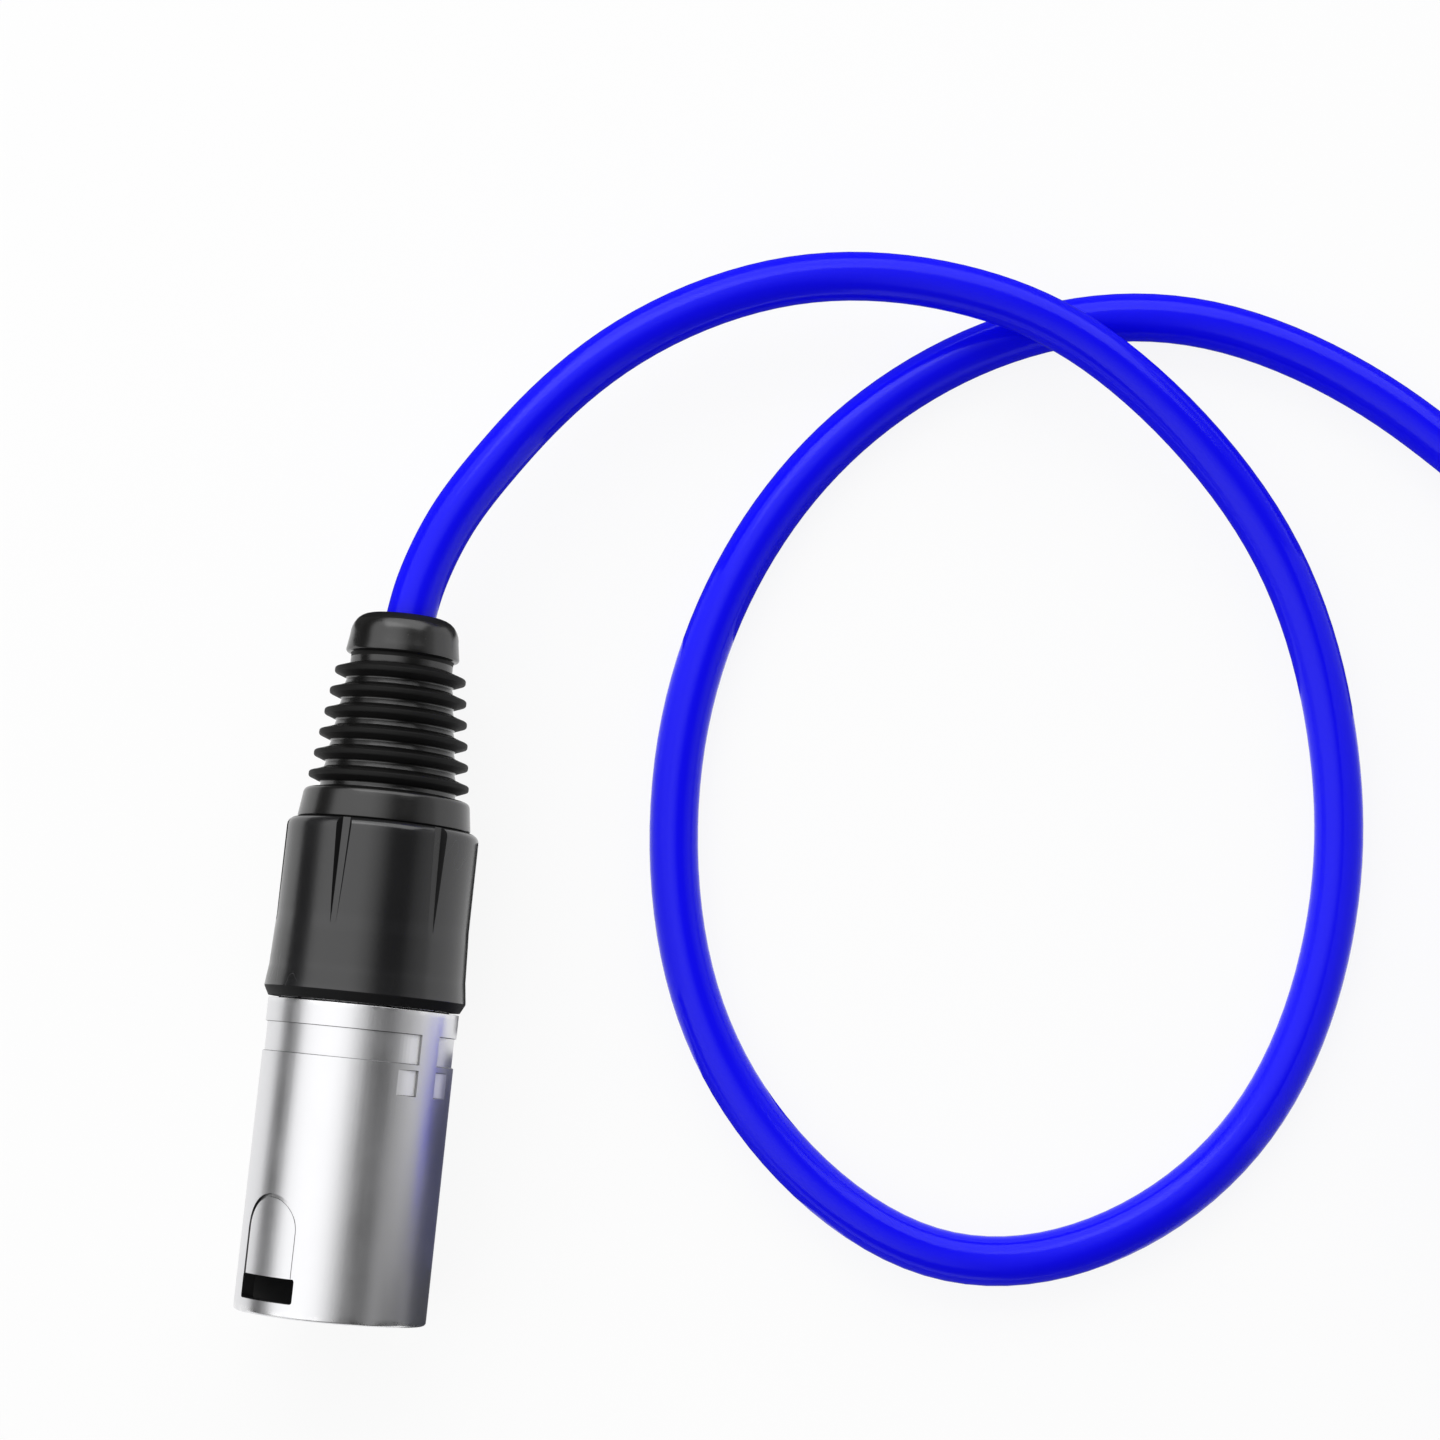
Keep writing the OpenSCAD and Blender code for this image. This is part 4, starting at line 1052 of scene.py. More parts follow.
class CABLE_OT_lay_cable(bpy.types.Operator):
    """Sweeps the cable along its loop, its coil and its tail, and dresses its two stripped ends"""

    bl_idname = "cable.lay_cable"
    bl_label = "Lay the Cable"

    def execute(self, context):
        s = ready()
        cable = grown(chain("cable", cable_line(s)), KIT.cable, "blue_jacket",
                      width=s.cable_d, facets=s.cable_sides)
        laid(cable, Matrix.Scale(MM, 4), "cable", "blue_jacket", "cable_run", "cable_coil",
             "cable_tail", sharp=60, even=False)
        for sex in PLUG_AT:
            dressed(f"{sex}_jacket_end", "jacket_end")
            dressed(f"{sex}_core_hot", "core_red")
            dressed(f"{sex}_core_cold", "core_white")
            dressed(f"{sex}_drain_wire", "copper")
        return {"FINISHED"}


def strap_line(s):
    """Middle line of the strap in its own plane, as (distance from the coil's centre, height)."""
    inner = s.coil_out_r - s.turn_pitch * s.turns_per_layer - s.cable_r - s.tie_gap
    outer = s.coil_out_r + s.cable_r + s.tie_gap
    half = s.tie_t / 2
    near, far, low = inner - half, outer + half, s.tie_t - half
    high = s.top_lift + s.cable_d + s.tie_gap + half
    corner, bend = s.tie_corner + half, 1.5
    lap, lap_start = s.tie_t + 0.02, high / 3 + 1.6
    points = [
        (far, lap_start, 0), (far, high, corner), (near, high, corner), (near, low, corner),
        (far, low, corner), (far, lap_start - 2.2, bend), (far + lap, lap_start - 0.2, bend),
        (far + lap, high + lap, corner + lap), (outer - s.tie_overlap, high + lap, 0)]
    return [(d, z) for d, z, _ in rounded(points, closed=False, steps=8, guard=1.5)]


class CABLE_OT_tie_coil(bpy.types.Operator):
    """Wraps the hook-and-loop strap round the coil and sews its edges"""

    bl_idname = "cable.tie_coil"
    bl_label = "Tie the Coil"

    def execute(self, context):
        s = ready()
        line = strap_line(s)
        strap = chain("strap", [(s.coil_x, s.coil_y - d, z) for d, z in line])
        grown(strap, KIT.strap, "tie_fabric", width=s.tie_w, thickness=s.tie_t - 0.04,
              corner=0.3, facets=3)
        laid(strap, Matrix.Scale(MM, 4), "cable", "tie_fabric", "coil_tie", even=False)
        sunk, inset, off_floor = 0.06, 1.1, 3.2
        shown = self.outside(line, s.tie_t / 2 - sunk)
        n, seam = len(shown), s.tie_w / 2 - inset
        rows = [(s.coil_x + x, s.coil_y - d, z) for x in (-seam, seam) for d, z in shown]
        clear = [i for i in range(n - 1) if min(shown[i][1], shown[i + 1][1]) > off_floor]
        edges = [(row * n + i, row * n + i + 1) for row in range(2) for i in clear]
        stitches = drawn("strap_stitches", rows, edges)
        grown(stitches, KIT.stitched, "tie_thread", spacing=2.1, length=1.7, thickness=0.28)
        laid(stitches, Matrix.Scale(MM, 4), "cable", "tie_fabric", even=False)
        return {"FINISHED"}

    def outside(self, line, rise):
        """The part of the line that isn't lapped over, moved out to the strap's face."""
        moved = []
        for i, (d, z) in enumerate(line):
            ahead = heading(line, i)
            moved.append((d + ahead.y * rise, z - ahead.x * rise))
        lap_end = line[-1][0] - 1.5
        first = next(i for i in range(3, len(line)) if line[i][0] < lap_end)
        return moved[first:-1]


# ---------------------------------------------------------------- plugs

def shell_rear(s, reach):
    """Outline of a shell's rear, from its body to its neck and back inside."""
    step, end = reach - 0.2, reach + s.neck_len
    return [(s.shell_r, step, 0.06), (s.neck_r, step, 0.15), (s.neck_r, end, 0.35),
            (s.neck_bore_r, end, 0.2)]


def shell_trim(s, reach):
    """Cutters for the band with its land, and for the two pockets beside the land."""
    band_z = reach - s.band_back - s.band_w
    pocket_z = band_z - s.bar_w - s.pocket_len
    deep, even, faint = 1.2 * s.trim_depth, s.trim_depth, 0.1 * s.trim_depth
    band = ((0, deep), (0.045, even), (0.955, even), (1, deep))
    before, behind = LAND_AT - LAND_HALF, LAND_AT + LAND_HALF
    pocket = (pocket_z, s.pocket_len, 12)
    return [
        arc_cut(s.shell_r, band, behind, before + 360, band_z, s.band_w, 144),
        arc_cut(s.shell_r, ((0, faint), (1, deep)), before - POCKET_SPAN, before, *pocket),
        arc_cut(s.shell_r, ((0, deep), (1, faint)), behind, behind + POCKET_SPAN, *pocket)]


def facing(face):
    """Middle and radius of a face, and how far it faces outwards and round the piece's axis."""
    (x, y, _), n = face.center, face.normal
    radius = max(math.hypot(x, y), 0.01)
    return face.center, radius, (n.x * x + n.y * y) / radius, (n.y * x - n.x * y) / radius


def shade_painted_on(obj, slot, test):
    """Gives a darker painted-shade finish to the faces that a test picks by what facing() says of
    them.
    """
    obj.data.materials.append(KIT.finish[slot])
    for face in obj.data.polygons:
        if test(*facing(face)):
            face.material_index = len(obj.data.materials) - 1


def painted_light_marks(s, shell, reach):
    """Marks a shell's steep walls and arch line for painted shade, fading out towards +X along the
    arch, and the flats by its land for a painted highlight.
    """
    arch_end = s.window_start + s.window_len + s.arch_leg + s.window_w / 2 + 0.3
    flats_end = reach - s.band_back
    flats_start = flats_end - s.band_w - s.bar_w - s.pocket_len - 0.4
    flat_half, fade, level = LAND_HALF + POCKET_SPAN, 8.0, 0.93
    grime, bare = [], []
    for face in shell.data.polygons:
        middle, radius, outward, _ = facing(face)
        sunk = s.shell_r - radius
        in_arch = middle.z < arch_end and sunk > 0.2
        # Painted shade: the recesses' steep walls and the arch line are darkened, the arch less
        # towards +X, where a highlight falls on it.
        if not (0.015 < sunk < 0.5 and 1.0 < middle.z < reach - 0.5):
            shade_level = 0.0
        elif outward < level:
            shade_level = 0.9 if in_arch or abs(face.normal.z) > 0.3 else 0.75
        else:
            shade_level = 0.6 if in_arch else 0.0
        grime.append(shade_level * (min(max(0.5 - middle.x / 4, 0.05), 1.0) if in_arch else 1.0))
        # Painted highlight: the recessed flats near the land, in the pockets and the band, are made
        # near-white and less metallic.
        off = abs(math.degrees(math.atan2(middle.y, middle.x)) - (LAND_AT - 90))
        highlight_flat = 0.008 < sunk < 0.5 and outward > level and flats_start < middle.z < flats_end
        bare.append(min(max((flat_half - off) / fade, 0.0), 1.0) if highlight_flat else 0.0)
    noted(shell, "grime", "FACE", grime)
    noted(shell, "bare", "FACE", bare)


def neck_thread(s, sex):
    """Screw thread on a shell's neck, which moves with the shell."""
    run_in, run_out = 1.1, 0.8
    thread = grown(drawn(f"{sex}_neck_thread", [(0, 0, 0)]), KIT.thread, "satin_metal",
                   radius=s.neck_r, bead=0.16, pitch=s.thread_pitch, facets=72,
                   turns=(s.neck_len - run_in - run_out) / s.thread_pitch,
                   start=s.reach[sex] + run_in)
    laid(thread, plug_place(s, sex), f"{sex}_shell_body", "satin_metal", even=False)


class CABLE_OT_make_shells(bpy.types.Operator):
    """Turns the two metal shells and cuts their windows, bands and pockets"""

    bl_idname = "cable.make_shells"
    bl_label = "Make the Shells"

    def execute(self, context):
        s = ready()
        for sex, make in (("male", self.male), ("female", self.female)):
            reach = s.reach[sex]
            shell = make(s, reach)
            painted_light_marks(s, shell, reach)
            laid(shell, plug_place(s, sex), f"{sex}_shell_body", "satin_metal", f"{sex}_shell",
                 sharp=30)
            neck_thread(s, sex)
        return {"FINISHED"}

    def male(self, s, reach):
        """Male shell with its latch window and the arch line behind it."""
        shell = turned("male_shell_skin", "satin_metal", [
            (s.mouth_r, 0, 0.25), (s.shell_r, 0, 0.3), *shell_rear(s, reach),
            (s.neck_bore_r, s.ledge_back, 0.15), (s.ledge_r, s.ledge_back, 0.15),
            (s.ledge_r, s.mouth_depth, 0.15), (s.mouth_r, s.mouth_depth, 0.3)])
        half, start, end = s.window_w / 2, s.window_start, s.window_start + s.window_len
        window = box("window", (-half, -s.shell_d, start), (half, -1, end), 0.25)
        w, foot = half - GROOVE_TOP * s.arch_line, end - 0.05
        bend = [(w * math.cos(math.pi * k / 32), foot + s.arch_leg + w * math.sin(math.pi * k / 32))
                for k in range(33)]
        knee = foot + s.arch_leg / 2
        arch = line_cut([(w, foot), (w, knee), *bend, (-w, knee), (-w, foot)],
                        s.arch_line, s.shell_r, 1.5 * s.trim_depth)
        carve(shell, window, arch, *shell_trim(s, reach))
        # Painted shade: the faces inside the mouth and the window's walls get a near-black finish.
        near = 0.02
        shade_painted_on(shell, "dark_bore", lambda at, radius, outward, turn: outward < 0.2 and (
            radius < s.mouth_r + 0.1 and at.z > 0.2
            or abs(at.x) < half + near and at.y < 0 and start - near < at.z < end + near))
        return shell

    def female(self, s, reach):
        """Female shell with its nose and the slot for the latch."""
        shell = turned("female_shell_skin", "satin_metal", [
            (s.nose_bore_r, 0, 0.2), (s.nose_r, 0, 0.35), (s.nose_r, s.nose_len, 0.15),
            (s.shell_r, s.nose_len, 0.4), *shell_rear(s, reach),
            (s.neck_bore_r, s.shoulder_back, 0.15), (s.nose_bore_r, s.shoulder_back, 0.15)])
        half = s.latch_w / 2 + 0.2
        slot = box("slot", (-half, -s.shell_d, s.hook_z - 0.4), (half, 0, s.button_end + 0.3), 0.3)
        return carve(shell, slot, *shell_trim(s, reach))


class CABLE_OT_make_collars(bpy.types.Operator):
    """Turns the two hard collars and cuts their tapering flutes"""

    bl_idname = "cable.make_collars"
    bl_label = "Make the Collars"

    def execute(self, context):
        s = ready()
        for sex in PLUG_AT:
            collar = turned(f"{sex}_collar_skin", "collar_plastic", self.outline(s))
            carve(collar, repeated(self.flute(s), s.flutes, first=s.flute_start - math.pi / 2,
                                   turn=math.tau / s.flutes))
            # Painted shade: the lip's front rounding, the flutes' side walls and the rear rounding
            # get a darker, duller finish.
            shade_painted_on(collar, "dull_collar", lambda at, radius, outward, turn: (
                at.z < 0.98 * s.lip_round or abs(turn) > 0.4
                or at.z > s.collar_len - 0.85 and outward < 0.7))
            laid(collar, plug_place(s, sex, s.reach[sex]), f"{sex}_collar_body",
                 "collar_plastic", f"{sex}_collar", sharp=28)
        return {"FINISHED"}

    def outline(self, s):
        """Outline of a collar from its lip over the taper to the grip's end, and back inside."""
        bore, seat, end, deep = s.neck_r + 0.2, s.spigot_r + 0.02, s.collar_len, s.neck_len + 0.5
        return [
            (bore, 0, 0.2), (s.lip_r - 0.5 * s.lip_round, 0, 0.08),
            (s.lip_r, 0.95 * s.lip_round, 0.35), (s.lip_r - 0.25, s.lip_len, 1.0),
            (s.collar_r + 0.05, s.lip_len + 0.8 * s.taper_len, 4.0),
            (s.collar_r, s.lip_len + s.taper_len, 0.5), (s.collar_r, end, 0.9),
            (seat, end, 0.15), (seat, deep, 0.1), (bore, deep, 0.1)]

    def flute(self, s):
        """Cutter for one flute, flat-bottomed, which narrows and runs out towards the front."""
        rings, steps, proud = [], 12, 0.6
        for k in range(steps + 1):
            t = k / steps
            depth = s.flute_depth * (0.08 + 1.1 * t ** 0.7) - 0.04
            flat = 0.28 + 0.12 * t
            wide = flat + 0.8 * (depth + proud)
            z = s.collar_len - s.flute_len * (1 - t) + proud * t
            low, high = s.collar_r - depth, s.collar_r + proud
            rings.append([(low, -flat, z), (high, -wide, z), (high, wide, z), (low, flat, z)])
        return lofted("flute", rings)


class CABLE_OT_make_boots(bpy.types.Operator):
    """Turns the two ribbed rubber boots"""

    bl_idname = "cable.make_boots"
    bl_label = "Make the Boots"

    # Both spans below are painted dark as painted shade: the neck's groove, and the neck's end
    # under the cap.
    NECK_GROOVE = (1.15, 1.5)       # groove in the neck, measured forwards from the cap
    CAP_GAP = (0.05, 0.45)          # the neck's end beside the cap

    def execute(self, context):
        s = ready()
        for sex in PLUG_AT:
            boot = turned(f"{sex}_boot_skin", "boot_rubber", self.outline(s), steps=6, facets=160)
            # Painted shade: the places that dark() picks get a darker, duller finish.
            shade_painted_on(boot, "dull_rubber",
                   lambda at, radius, outward, turn: self.dark(s, at.z, radius))
            laid(boot, plug_place(s, sex, s.reach[sex]), f"{sex}_collar_body", "boot_rubber",
                 f"{sex}_boot", sharp=50)
        return {"FINISHED"}

    def dark(self, s, z, radius):
        """Whether a place gets painted shade: on a rib's outer half, in the neck beside the cap and
        in its groove, or at the tip.
        """
        rib = round((z - s.base_end - s.rib_start) / s.rib_pitch)
        core = s.rib_r - s.rib_rise - rib * s.rib_fall
        under_cap = s.boot_tip - s.cap_len - z
        on_rib = 0 <= rib < s.ribs and core + 0.6 < radius < core + 2 and under_cap > 0.2
        on_neck = any(near < under_cap < far for near, far in (self.CAP_GAP, self.NECK_GROOVE))
        return on_rib or on_neck or z > s.boot_tip - 0.9

    def outline(self, s):
        """Outline of a boot over its base ring, its ribs and its end cap, and back inside."""
        start, base_end, cap_z = s.collar_len, s.base_end, s.boot_tip - s.cap_len
        core, back = s.rib_r - s.rib_rise, start - s.spigot_len
        points = [
            (s.spigot_r, back, 0.2), (s.spigot_r, start + 0.02, 0), (s.base_r, start + 0.02, 0.25),
            (s.base_r - 0.4, base_end, 0.6), (core + 0.1, base_end + 0.1, 0.2)]
        thin, thick = s.rib_t / 2, s.rib_foot / 2
        for i in range(s.ribs):
            at, fall = base_end + s.rib_start + i * s.rib_pitch, i * s.rib_fall
            tip, foot = s.rib_r - fall, core - fall
            points += [(foot, at - thick, 0.16), (tip, at - thin, 0.9 * thin),
                       (tip, at + thin, 0.9 * thin), (foot - 0.1, at + thick, 0.16)]
        neck_r = core - (s.ribs - 1) * s.rib_fall - 0.15
        (near, far), (gap, gap_start) = self.NECK_GROOVE, self.CAP_GAP
        points += [
            (neck_r, cap_z - far, 0), (neck_r - 0.12, cap_z - 1.32, 0), (neck_r, cap_z - near, 0),
            (neck_r, cap_z - gap_start, 0), (neck_r, cap_z - gap, 0.2), (s.cap_r, cap_z + gap, 0.3)]
        for k in range(10):
            a = math.radians(10 * k)
            points.append((s.cap_r - 0.28 - 0.85 * s.cap_round * (1 - math.cos(a)),
                           s.boot_tip - s.cap_round * (1 - math.sin(a)), 0))
        bore, flare, hollow, hollow_end, throat = s.cable_r + 0.2, 0.65, 6.9, 13.8, 18.0
        return points + [
            (bore + flare, s.boot_tip, 0.25), (bore, s.boot_tip - 5.0, 2.0), (bore, throat, 1.0),
            (hollow, hollow_end, 1.0), (hollow, back, 0.2)]


class CABLE_OT_make_inserts(bpy.types.Operator):
    """Turns the two inserts with their contacts, and dresses the chucks and the ground springs"""

    bl_idname = "cable.make_inserts"
    bl_label = "Make the Inserts"

    def execute(self, context):
        s = ready()
        self.male(s)
        self.female(s)
        for sex in PLUG_AT:
            dressed(f"{sex}_chuck", "chuck_plastic")
            dressed(f"{sex}_ground_spring", "spring_metal")
        return {"FINISHED"}

    def body(self, s, sex, front, front_r, seat, back, edge, cuts):
        """Insert with its wider rear, its skirt and what is cut from it."""
        skirt_r, end = s.insert_r - s.skirt_wall, back + s.skirt_len
        body = turned(f"{sex}_insert_body", "insert_plastic", [
            (0, front, 0), (front_r, front, edge), (front_r, seat, 0.05), (s.insert_r, seat, 0.2),
            (s.insert_r, end, 0.2), (skirt_r, end, 0.2), (skirt_r, back, 0.3), (0, back, 0)],
            closed=False)
        carve(body, *cuts)
        laid(body, plug_place(s, sex), "cable", "insert_plastic", f"{sex}_insert", sharp=32)

    def ground_slot(self, s, z):
        """Cutter for the ground spring's slot."""
        half, out, deep = 1.1, 0.3, 0.35
        return box("slot", (-s.insert_r - out, -half, z),
                   (-s.insert_r + deep + out, half, z + s.ground_len + 0.2), 0.05)

    def contacts(self, s, sex, kind, front, back):
        """Three turned contacts of one front outline, each with a solder cup at its rear."""
        cup_r, bore, end = s.cup_d / 2, s.cup_bore_d / 2, back + s.cup_len
        outline = front + [
            (s.shank_d / 2, back, 0.03), (cup_r, back, 0.1), (cup_r, end, 0.12), (bore, end, 0.12),
            (bore, end - s.cup_depth, 0.3), (0, end - s.cup_depth, 0)]
        for n, at in enumerate(s.contacts, 1):
            node = f"{sex}_{kind}_{n}"
            piece = turned(f"{node}_turned", "contact_metal", outline, closed=False, facets=64,
                           steps=6)
            laid(piece, plug_place(s, sex) @ Matrix.Translation((*at, 0)), "cable",
                 "contact_metal", node, sharp=40)

    def male(self, s):
        """Male insert with a raised ring round each pin, and the pins."""
        front, back = s.mouth_depth, s.reach["male"] + s.insert_back
        pin_r, shank = s.pin_d / 2, s.shank_d / 2
        cuts = [self.ground_slot(s, s.ledge_back + 0.75),
                rod("dimple", (0, 0), 0.7, front - 1, front + 0.25, top=0.45)]
        for at in s.contacts:
            ring = rod("ring", at, 2.35, front - 1, front + 0.18, top=2.25)
            cuts.append(carve(ring, rod("land", at, 1.95, front - 2, front + 1)))
            cuts.append(rod("hole", at, shank + 0.02, front - 1, back + 1))
        self.body(s, "male", front, s.ledge_r - PLAY, s.ledge_back, back, 0.3, cuts)
        self.contacts(s, "male", "pin", [
            (0, s.pin_back, 0), (pin_r, s.pin_back, 0.98 * pin_r), (pin_r, front, 0.05),
            (shank, front, 0.15)], back)

    def female(self, s):
        """Female insert with countersunk holes and the latch's channel, and the sockets."""
        front, back = 0.3, s.reach["female"] + s.insert_back
        bore, sleeve, shank = s.pin_d / 2 + 0.025, s.sleeve_d / 2, s.shank_d / 2
        mouth, bore_end = 1.0, 1.0 + s.sleeve_depth
        sleeve_end = bore_end + 0.4
        half = s.latch_w / 2 + 0.3
        cuts = [self.ground_slot(s, back - s.ground_len - 1.5),
                box("channel", (-half, -s.shell_r, s.hook_z - 6.5),
                    (half, -s.channel_floor, s.latch_back + 1), 0.2)]
        for at in s.contacts:
            cuts += [rod("hole", at, shank + 0.02, front - 1, back + 1),
                     rod("sink", at, shank + 0.75, front - 0.35, front + 0.35, top=shank),
                     rod("bore", at, sleeve + 0.02, mouth, sleeve_end)]
        self.body(s, "female", front, s.nose_bore_r - PLAY, s.shoulder_back, back, 0.35, cuts)
        self.contacts(s, "female", "contact", [
            (0, bore_end, 0), (bore, bore_end, 0.2), (bore, mouth, 0.15), (sleeve, mouth, 0.2),
            (sleeve, sleeve_end, 0.15), (shank, sleeve_end, 0.05)], back)


class CABLE_OT_make_latch(bpy.types.Operator):
    """Shapes the female plug's latch with its hook and its grooved button"""

    bl_idname = "cable.make_latch"
    bl_label = "Make the Latch"

    def execute(self, context):
        s = ready()
        half, low, strip = s.latch_w / 2, s.latch_low, s.latch_low + s.latch_t
        top, hook_top = s.shell_r + s.button_rise, s.nose_r + s.hook_rise
        hook_end, start, end = s.hook_z + s.hook_len, s.button_z, s.button_end
        side = rounded([
            (s.hook_z, low, 0.1), (s.hook_z, hook_top - 1.1, 0.2), (s.hook_z + 0.8, hook_top, 0.25),
            (hook_end, hook_top, 0.15), (hook_end, strip, 0.2), (start, strip, 0.15),
            (start, top + 1, 0), (end, top + 1, 0), (end, strip, 0.2),
            (s.latch_back, strip, 0.2), (s.latch_back, low, 0.1)], guard=math.inf)
        latch = lofted("female_latch_body", [
            [(x, -h, z) for z, h, _ in side] for x in (-half, half)])
        latch.data.materials.append(KIT.finish["latch_black"])
        beyond = 60
        crown = turned("crown", "latch_black", [
            (0, 0, 0), (start + 3.0, 0, 0), (top, start - 0.1, 0.8), (top, end + 0.1, 0.9),
            (top - 3, end + 0.4, 0), (top - 3, beyond, 0), (0, beyond, 0)], closed=False)
        carve(latch, crown, how="INTERSECT")
        pitch, groove_r = 1.6, 0.42
        grip = rod("grip", (-top - 0.02, start + s.button_len / 2 - pitch), groove_r,
                   -half - 1, half + 1, axis="X", sides=24)
        carve(latch, repeated(grip, 3, step=(0, 0, pitch)))
        laid(latch, plug_place(s, "female"), "female_latch_body", "latch_black", "female_latch",
             bevel=0.12, sharp=32)
        self.leaf(s)
        return {"FINISHED"}

    def leaf(self, s):
        """Bowed leaf spring under the latch."""
        rise, half_len, half_w, thick, steps = s.latch_travel, 4.0, 2, 0.3, 14
        bow = (half_len ** 2 + rise ** 2) / (2 * rise)
        low, middle = s.channel_floor + 0.05, s.button_z + s.button_len / 2
        arcs = []
        for radius in (bow, bow - thick):
            end = math.acos((bow - rise) / radius)
            turns = [end * k / steps for k in range(-steps, steps + 1)]
            arcs.append([(middle + radius * math.sin(a), low + radius * math.cos(a) - bow + rise)
                         for a in turns])
        side = arcs[0] + arcs[1][::-1]
        leaf = lofted("female_latch_leaf", [
            [(x, -h, z) for z, h in side] for x in (-half_w, half_w)])
        leaf.data.materials.append(KIT.finish["spring_metal"])
        laid(leaf, plug_place(s, "female"), "female_shell_body", "spring_metal",
             "female_latch_spring", sharp=32)
        (s.axis_z + low) * MM
        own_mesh(leaf)


class CABLE_OT_declare_cord(bpy.types.Operator):
    """Works out the cable's centre line in metres and the lengths between its points, and keeps
    none of them
    """

    bl_idname = "cable.declare_cord"
    bl_label = "Declare the Cable"

    def execute(self, context):
        s = ready()
        line = [p * MM for p in cable_line(s)]
        steps = [(b - a).length for a, b in zip(line, line[1:])]
        bpy.data.objects["cable"]
        line[0]
        return {"FINISHED"}


# ---------------------------------------------------------------- stage

LIGHTS = (
    # name of the light and its setting, offset and size in metres, and how it fades across
    ("key_light", (-0.315, 0.0, 0.568), (1.3, 1.6), (
        (0.0, 0.6), (0.1, 0.95), (0.2, 1.0), (0.62, 1.0), (0.82, 0.5), (0.9, 0.2), (1.0, 0.05))),
    ("fill_light", (0.680, 0.0, 0.317), (0.55, 1.2), ((0.0, 0.3), (0.5, 0.9), (1.0, 1.0))),
    ("back_light", (0.0, 0.688, 0.464), (1.2, 0.72), (
        (0.0, 0.9), (0.06, 1.0), (0.94, 1.0), (1.0, 0.9))),
)
CARDS = (
    # name, two corners in millimetres, and how brightly it shows in a reflection
    ("left_flag", (-250, -200, 0.4), (-68, 600, 0.4), 0.03),
    ("left_flag_upright", (-250, -200, 0), (-250, 600, 62), 0.03),
    ("loop_flag", (-68, 37, 0.4), (500, 600, 0.4), 0.08),
    ("far_flag", (-250, 600, 0), (500, 600, 80), 0.08),
    ("edge_card", (10.4, -6, 0.3), (15, 14, 0.3), 0.03),
    ("grey_card", (10.5, -50, 0.3), (45, -30, 0.3), (0.045, 0.047, 0.055)),
    ("blue_grey_card", (10.5, -30, 0.3), (45, -8, 0.3), (0.06, 0.063, 0.115)),
    ("mid_grey_card", (45, -60, 0.3), (110, -24, 0.3), 0.18),
    ("pale_grey_card", (45, -24, 0.3), (110, -8, 0.3), 0.65),
    ("front_flag", (120, -300, 0), (120, -34, 80), 0.08),
    ("white_card", (20, -4, 0), (20, 50, 20), 0.9),
    ("coil_card_front", (104, -34, 0), (104, -17, 34), 0.35),
    ("coil_card", (104, -17, 0), (104, 60, 34), 0.8),
)


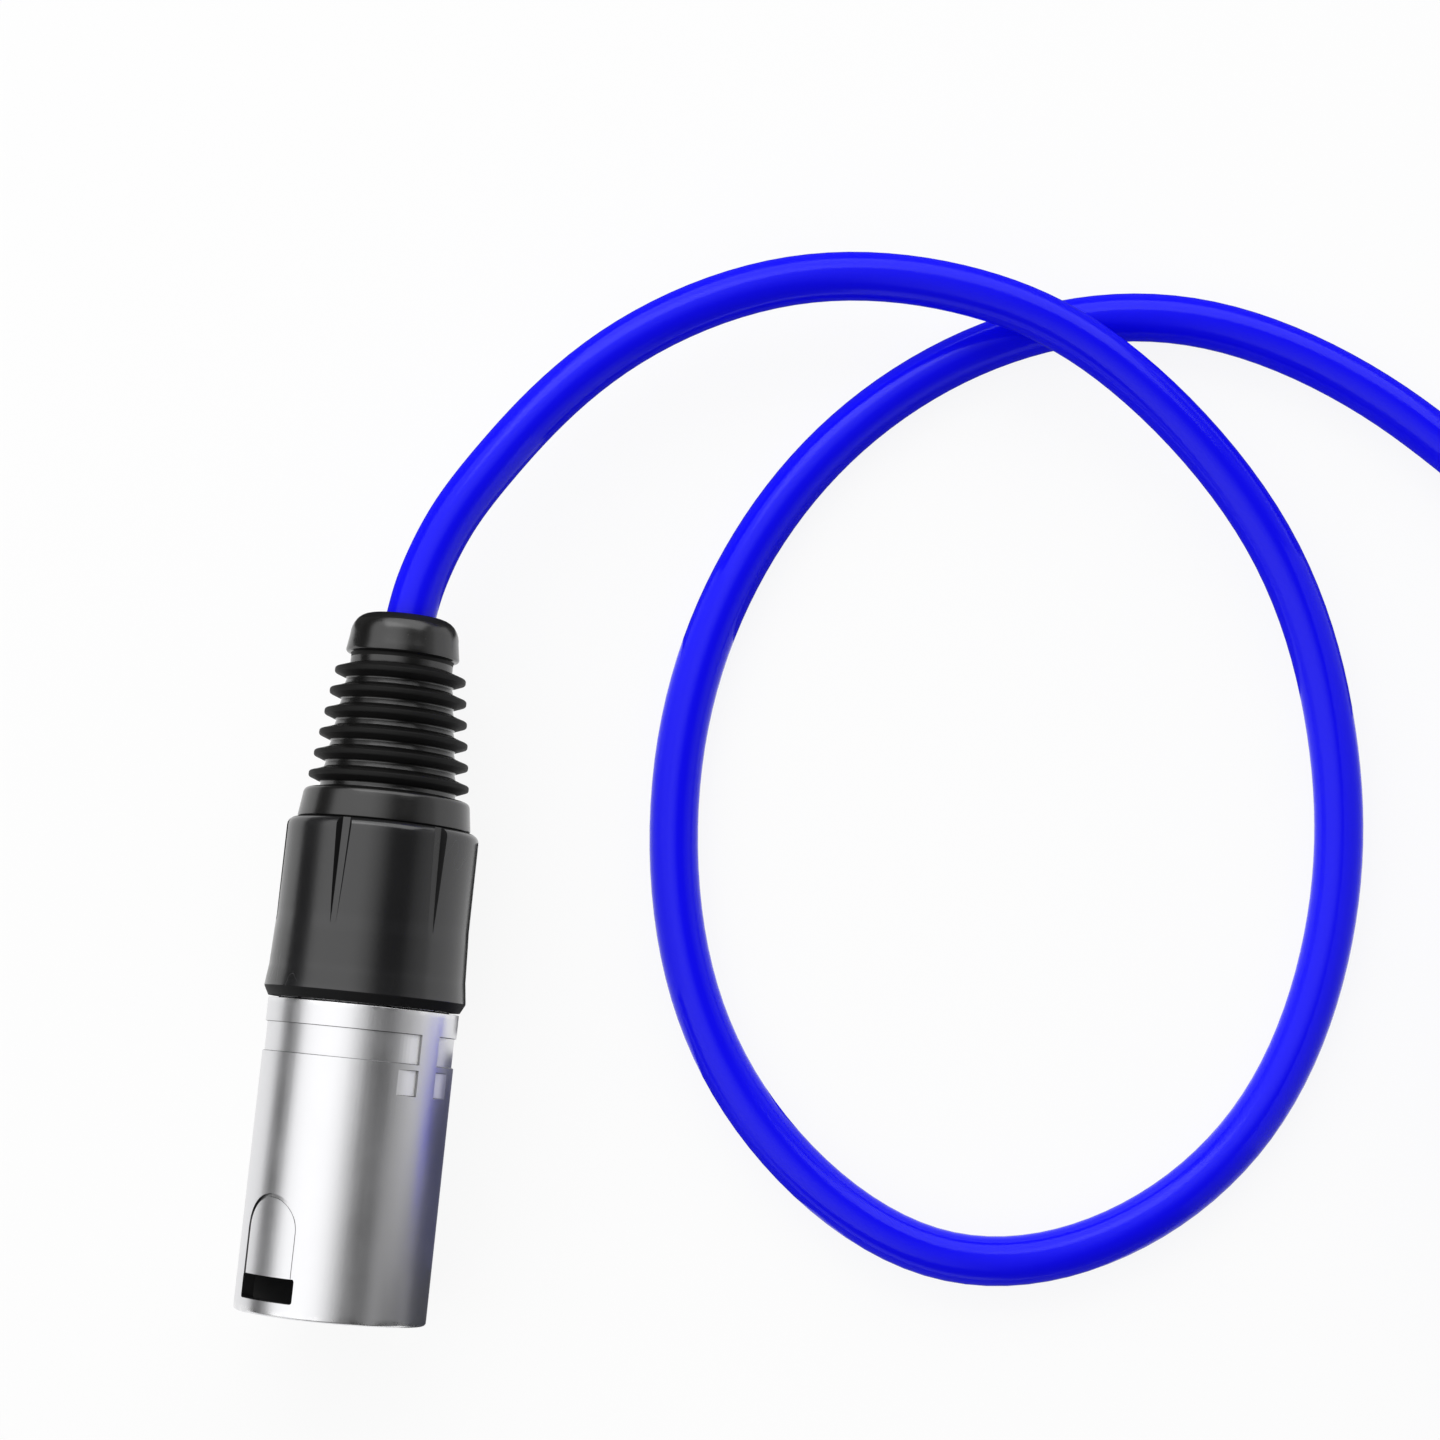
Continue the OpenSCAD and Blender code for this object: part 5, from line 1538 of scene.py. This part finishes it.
class CABLE_OT_set_stage(bpy.types.Operator):
    """Lays the floor, hangs the soft lights, sets up the cards and places the camera"""

    bl_idname = "cable.set_stage"
    bl_label = "Set the Stage"

    def execute(self, context):
        s = sizes()
        self.camera(context.scene, s.lens)
        self.panel("floor", [(x, y, 0) for x, y in (
            (-6000, -6000), (6000, -6000), (6000, 6000), (-6000, 6000))], floor_finish(s))
        for name, offset, size, fade in LIGHTS:
            self.softbox(name, Vector(offset), size, getattr(s, name), fade)
        for name, low, high, glow in CARDS:
            self.card(name, low, high, glow if isinstance(glow, tuple) else (glow,) * 3)
        self.surroundings(context.scene)
        context.scene.view_settings.view_transform = "Standard"
        return {"FINISHED"}

    def camera(self, scene, lens):
        """Camera high over the cable, tilted a little and turned a little."""
        tilt, down, roll = 0.1097, 0.9940, math.radians(5.726)
        level, up = Vector((1, 0, 0)), Vector((0, down, tilt))
        right = level * math.cos(roll) + up * math.sin(roll)
        over = up * math.cos(roll) - level * math.sin(roll)
        camera = linked("camera", bpy.data.cameras.new("camera"))
        camera.data.lens, camera.data.sensor_width, camera.data.clip_start = lens, 36.0, 0.01
        camera.data.dof.use_dof = False
        camera.matrix_world = Matrix.Translation((0.03247, -0.00993, 0.35234)) @ Matrix(
            (right, over, (0, -tilt, down))).transposed().to_4x4()
        scene.camera = camera

    def panel(self, name, corners, finish):
        """Flat four-cornered piece of the stage."""
        panel = drawn(name, corners, faces=[(0, 1, 2, 3)])
        panel.data.transform(Matrix.Scale(MM, 4))
        panel.data.materials.append(finish)
        return panel

    def softbox(self, name, offset, size, brightness, fade):
        """Large soft light that faces the plug, as bright as a surface of that brightness."""
        data = bpy.data.lights.new(name, "AREA")
        data.shape, data.size, data.size_y = "RECTANGLE", *size
        data.energy = brightness * math.pi * size[0] * size[1]
        g = Graph(blank(data))
        across = g.parts(g.add("ShaderNodeNewGeometry", out="Parametric"))
        glow = g.add("ShaderNodeEmission", None, {"Strength": g.ramp(across, *fade)})
        g.add("ShaderNodeOutputLight", None, {0: glow})
        light = linked(name, data)
        light.location = Vector((0.03, 0.0, 0.01)) + offset
        light.rotation_euler = (
            -math.atan2(offset.y, offset.z), math.atan2(offset.x, offset.z), 0)
        light.visible_camera = False

    def card(self, name, low, high, glow):
        """Lying or standing card that only reflections show, as set round glossy things."""
        (x, y, z), (far_x, far_y, far_z) = low, high
        f = Finish(name)
        finish = f.ended(f.add("ShaderNodeEmission", None, {"Color": (*glow, 1.0)}))
        card = self.panel(name, [low, (far_x, y, z), high, (x, far_y, z)] if z == far_z else
                          [low, (far_x, far_y, z), high, (x, y, far_z)], finish)
        card.visible_camera = card.visible_diffuse = False
        card.visible_transmission = card.visible_shadow = False

    def surroundings(self, scene):
        """Surroundings that are pale near the horizon and dim overhead, where the lights hang."""
        scene.world = bpy.data.worlds.new("studio")
        g = Graph(blank(scene.world))
        height = g.parts(g.add("ShaderNodeTexCoord", out="Generated")).other("Z")
        sky = g.ramp(height, (0.0, 0.85), (0.1, 0.85), (0.24, 0.07), (1.0, 0.05))
        g.add("ShaderNodeOutputWorld", None, {
            "Surface": g.add("ShaderNodeBackground", None, {"Color": sky, "Strength": 1.0})})


# ---------------------------------------------------------------- add-on

class CABLE_PT_panel(bpy.types.Panel):
    """Steps and settings of the microphone cable"""

    bl_idname = "CABLE_PT_panel"
    bl_label = "Microphone Cable"
    bl_space_type = "VIEW_3D"
    bl_region_type = "UI"
    bl_category = "Cable"

    def draw(self, context):
        steps = self.layout.column(align=True)
        for operator in OPERATORS:
            steps.operator(operator.bl_idname)
        for name, group in SETTINGS.items():
            box_of = self.layout.box()
            box_of.label(text=group.__doc__)
            values = getattr(context.scene, name)
            for key in group.__annotations__:
                box_of.prop(values, key)


OPERATORS = (
    CABLE_OT_set_stage, CABLE_OT_lay_cable, CABLE_OT_tie_coil, CABLE_OT_make_shells,
    CABLE_OT_make_collars, CABLE_OT_make_boots, CABLE_OT_make_inserts, CABLE_OT_make_latch,
    CABLE_OT_declare_cord,
)
CLASSES = (*SETTINGS.values(), *OPERATORS, CABLE_PT_panel)


def register():
    """Registers the classes and hangs the settings on the scene."""
    for cls in CLASSES:
        bpy.utils.register_class(cls)
    for name, group in SETTINGS.items():
        setattr(bpy.types.Scene, name, bpy.props.PointerProperty(type=group))


def unregister():
    """Takes the settings and the classes away again."""
    for name in SETTINGS:
        delattr(bpy.types.Scene, name)
    for cls in reversed(CLASSES):
        bpy.utils.unregister_class(cls)


def main():
    """Builds everything in order."""
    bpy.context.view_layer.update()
    register()
    for operator in OPERATORS:
        group, name = operator.bl_idname.split(".")
        getattr(getattr(bpy.ops, group), name)()


if __name__ == "__main__":
    main()
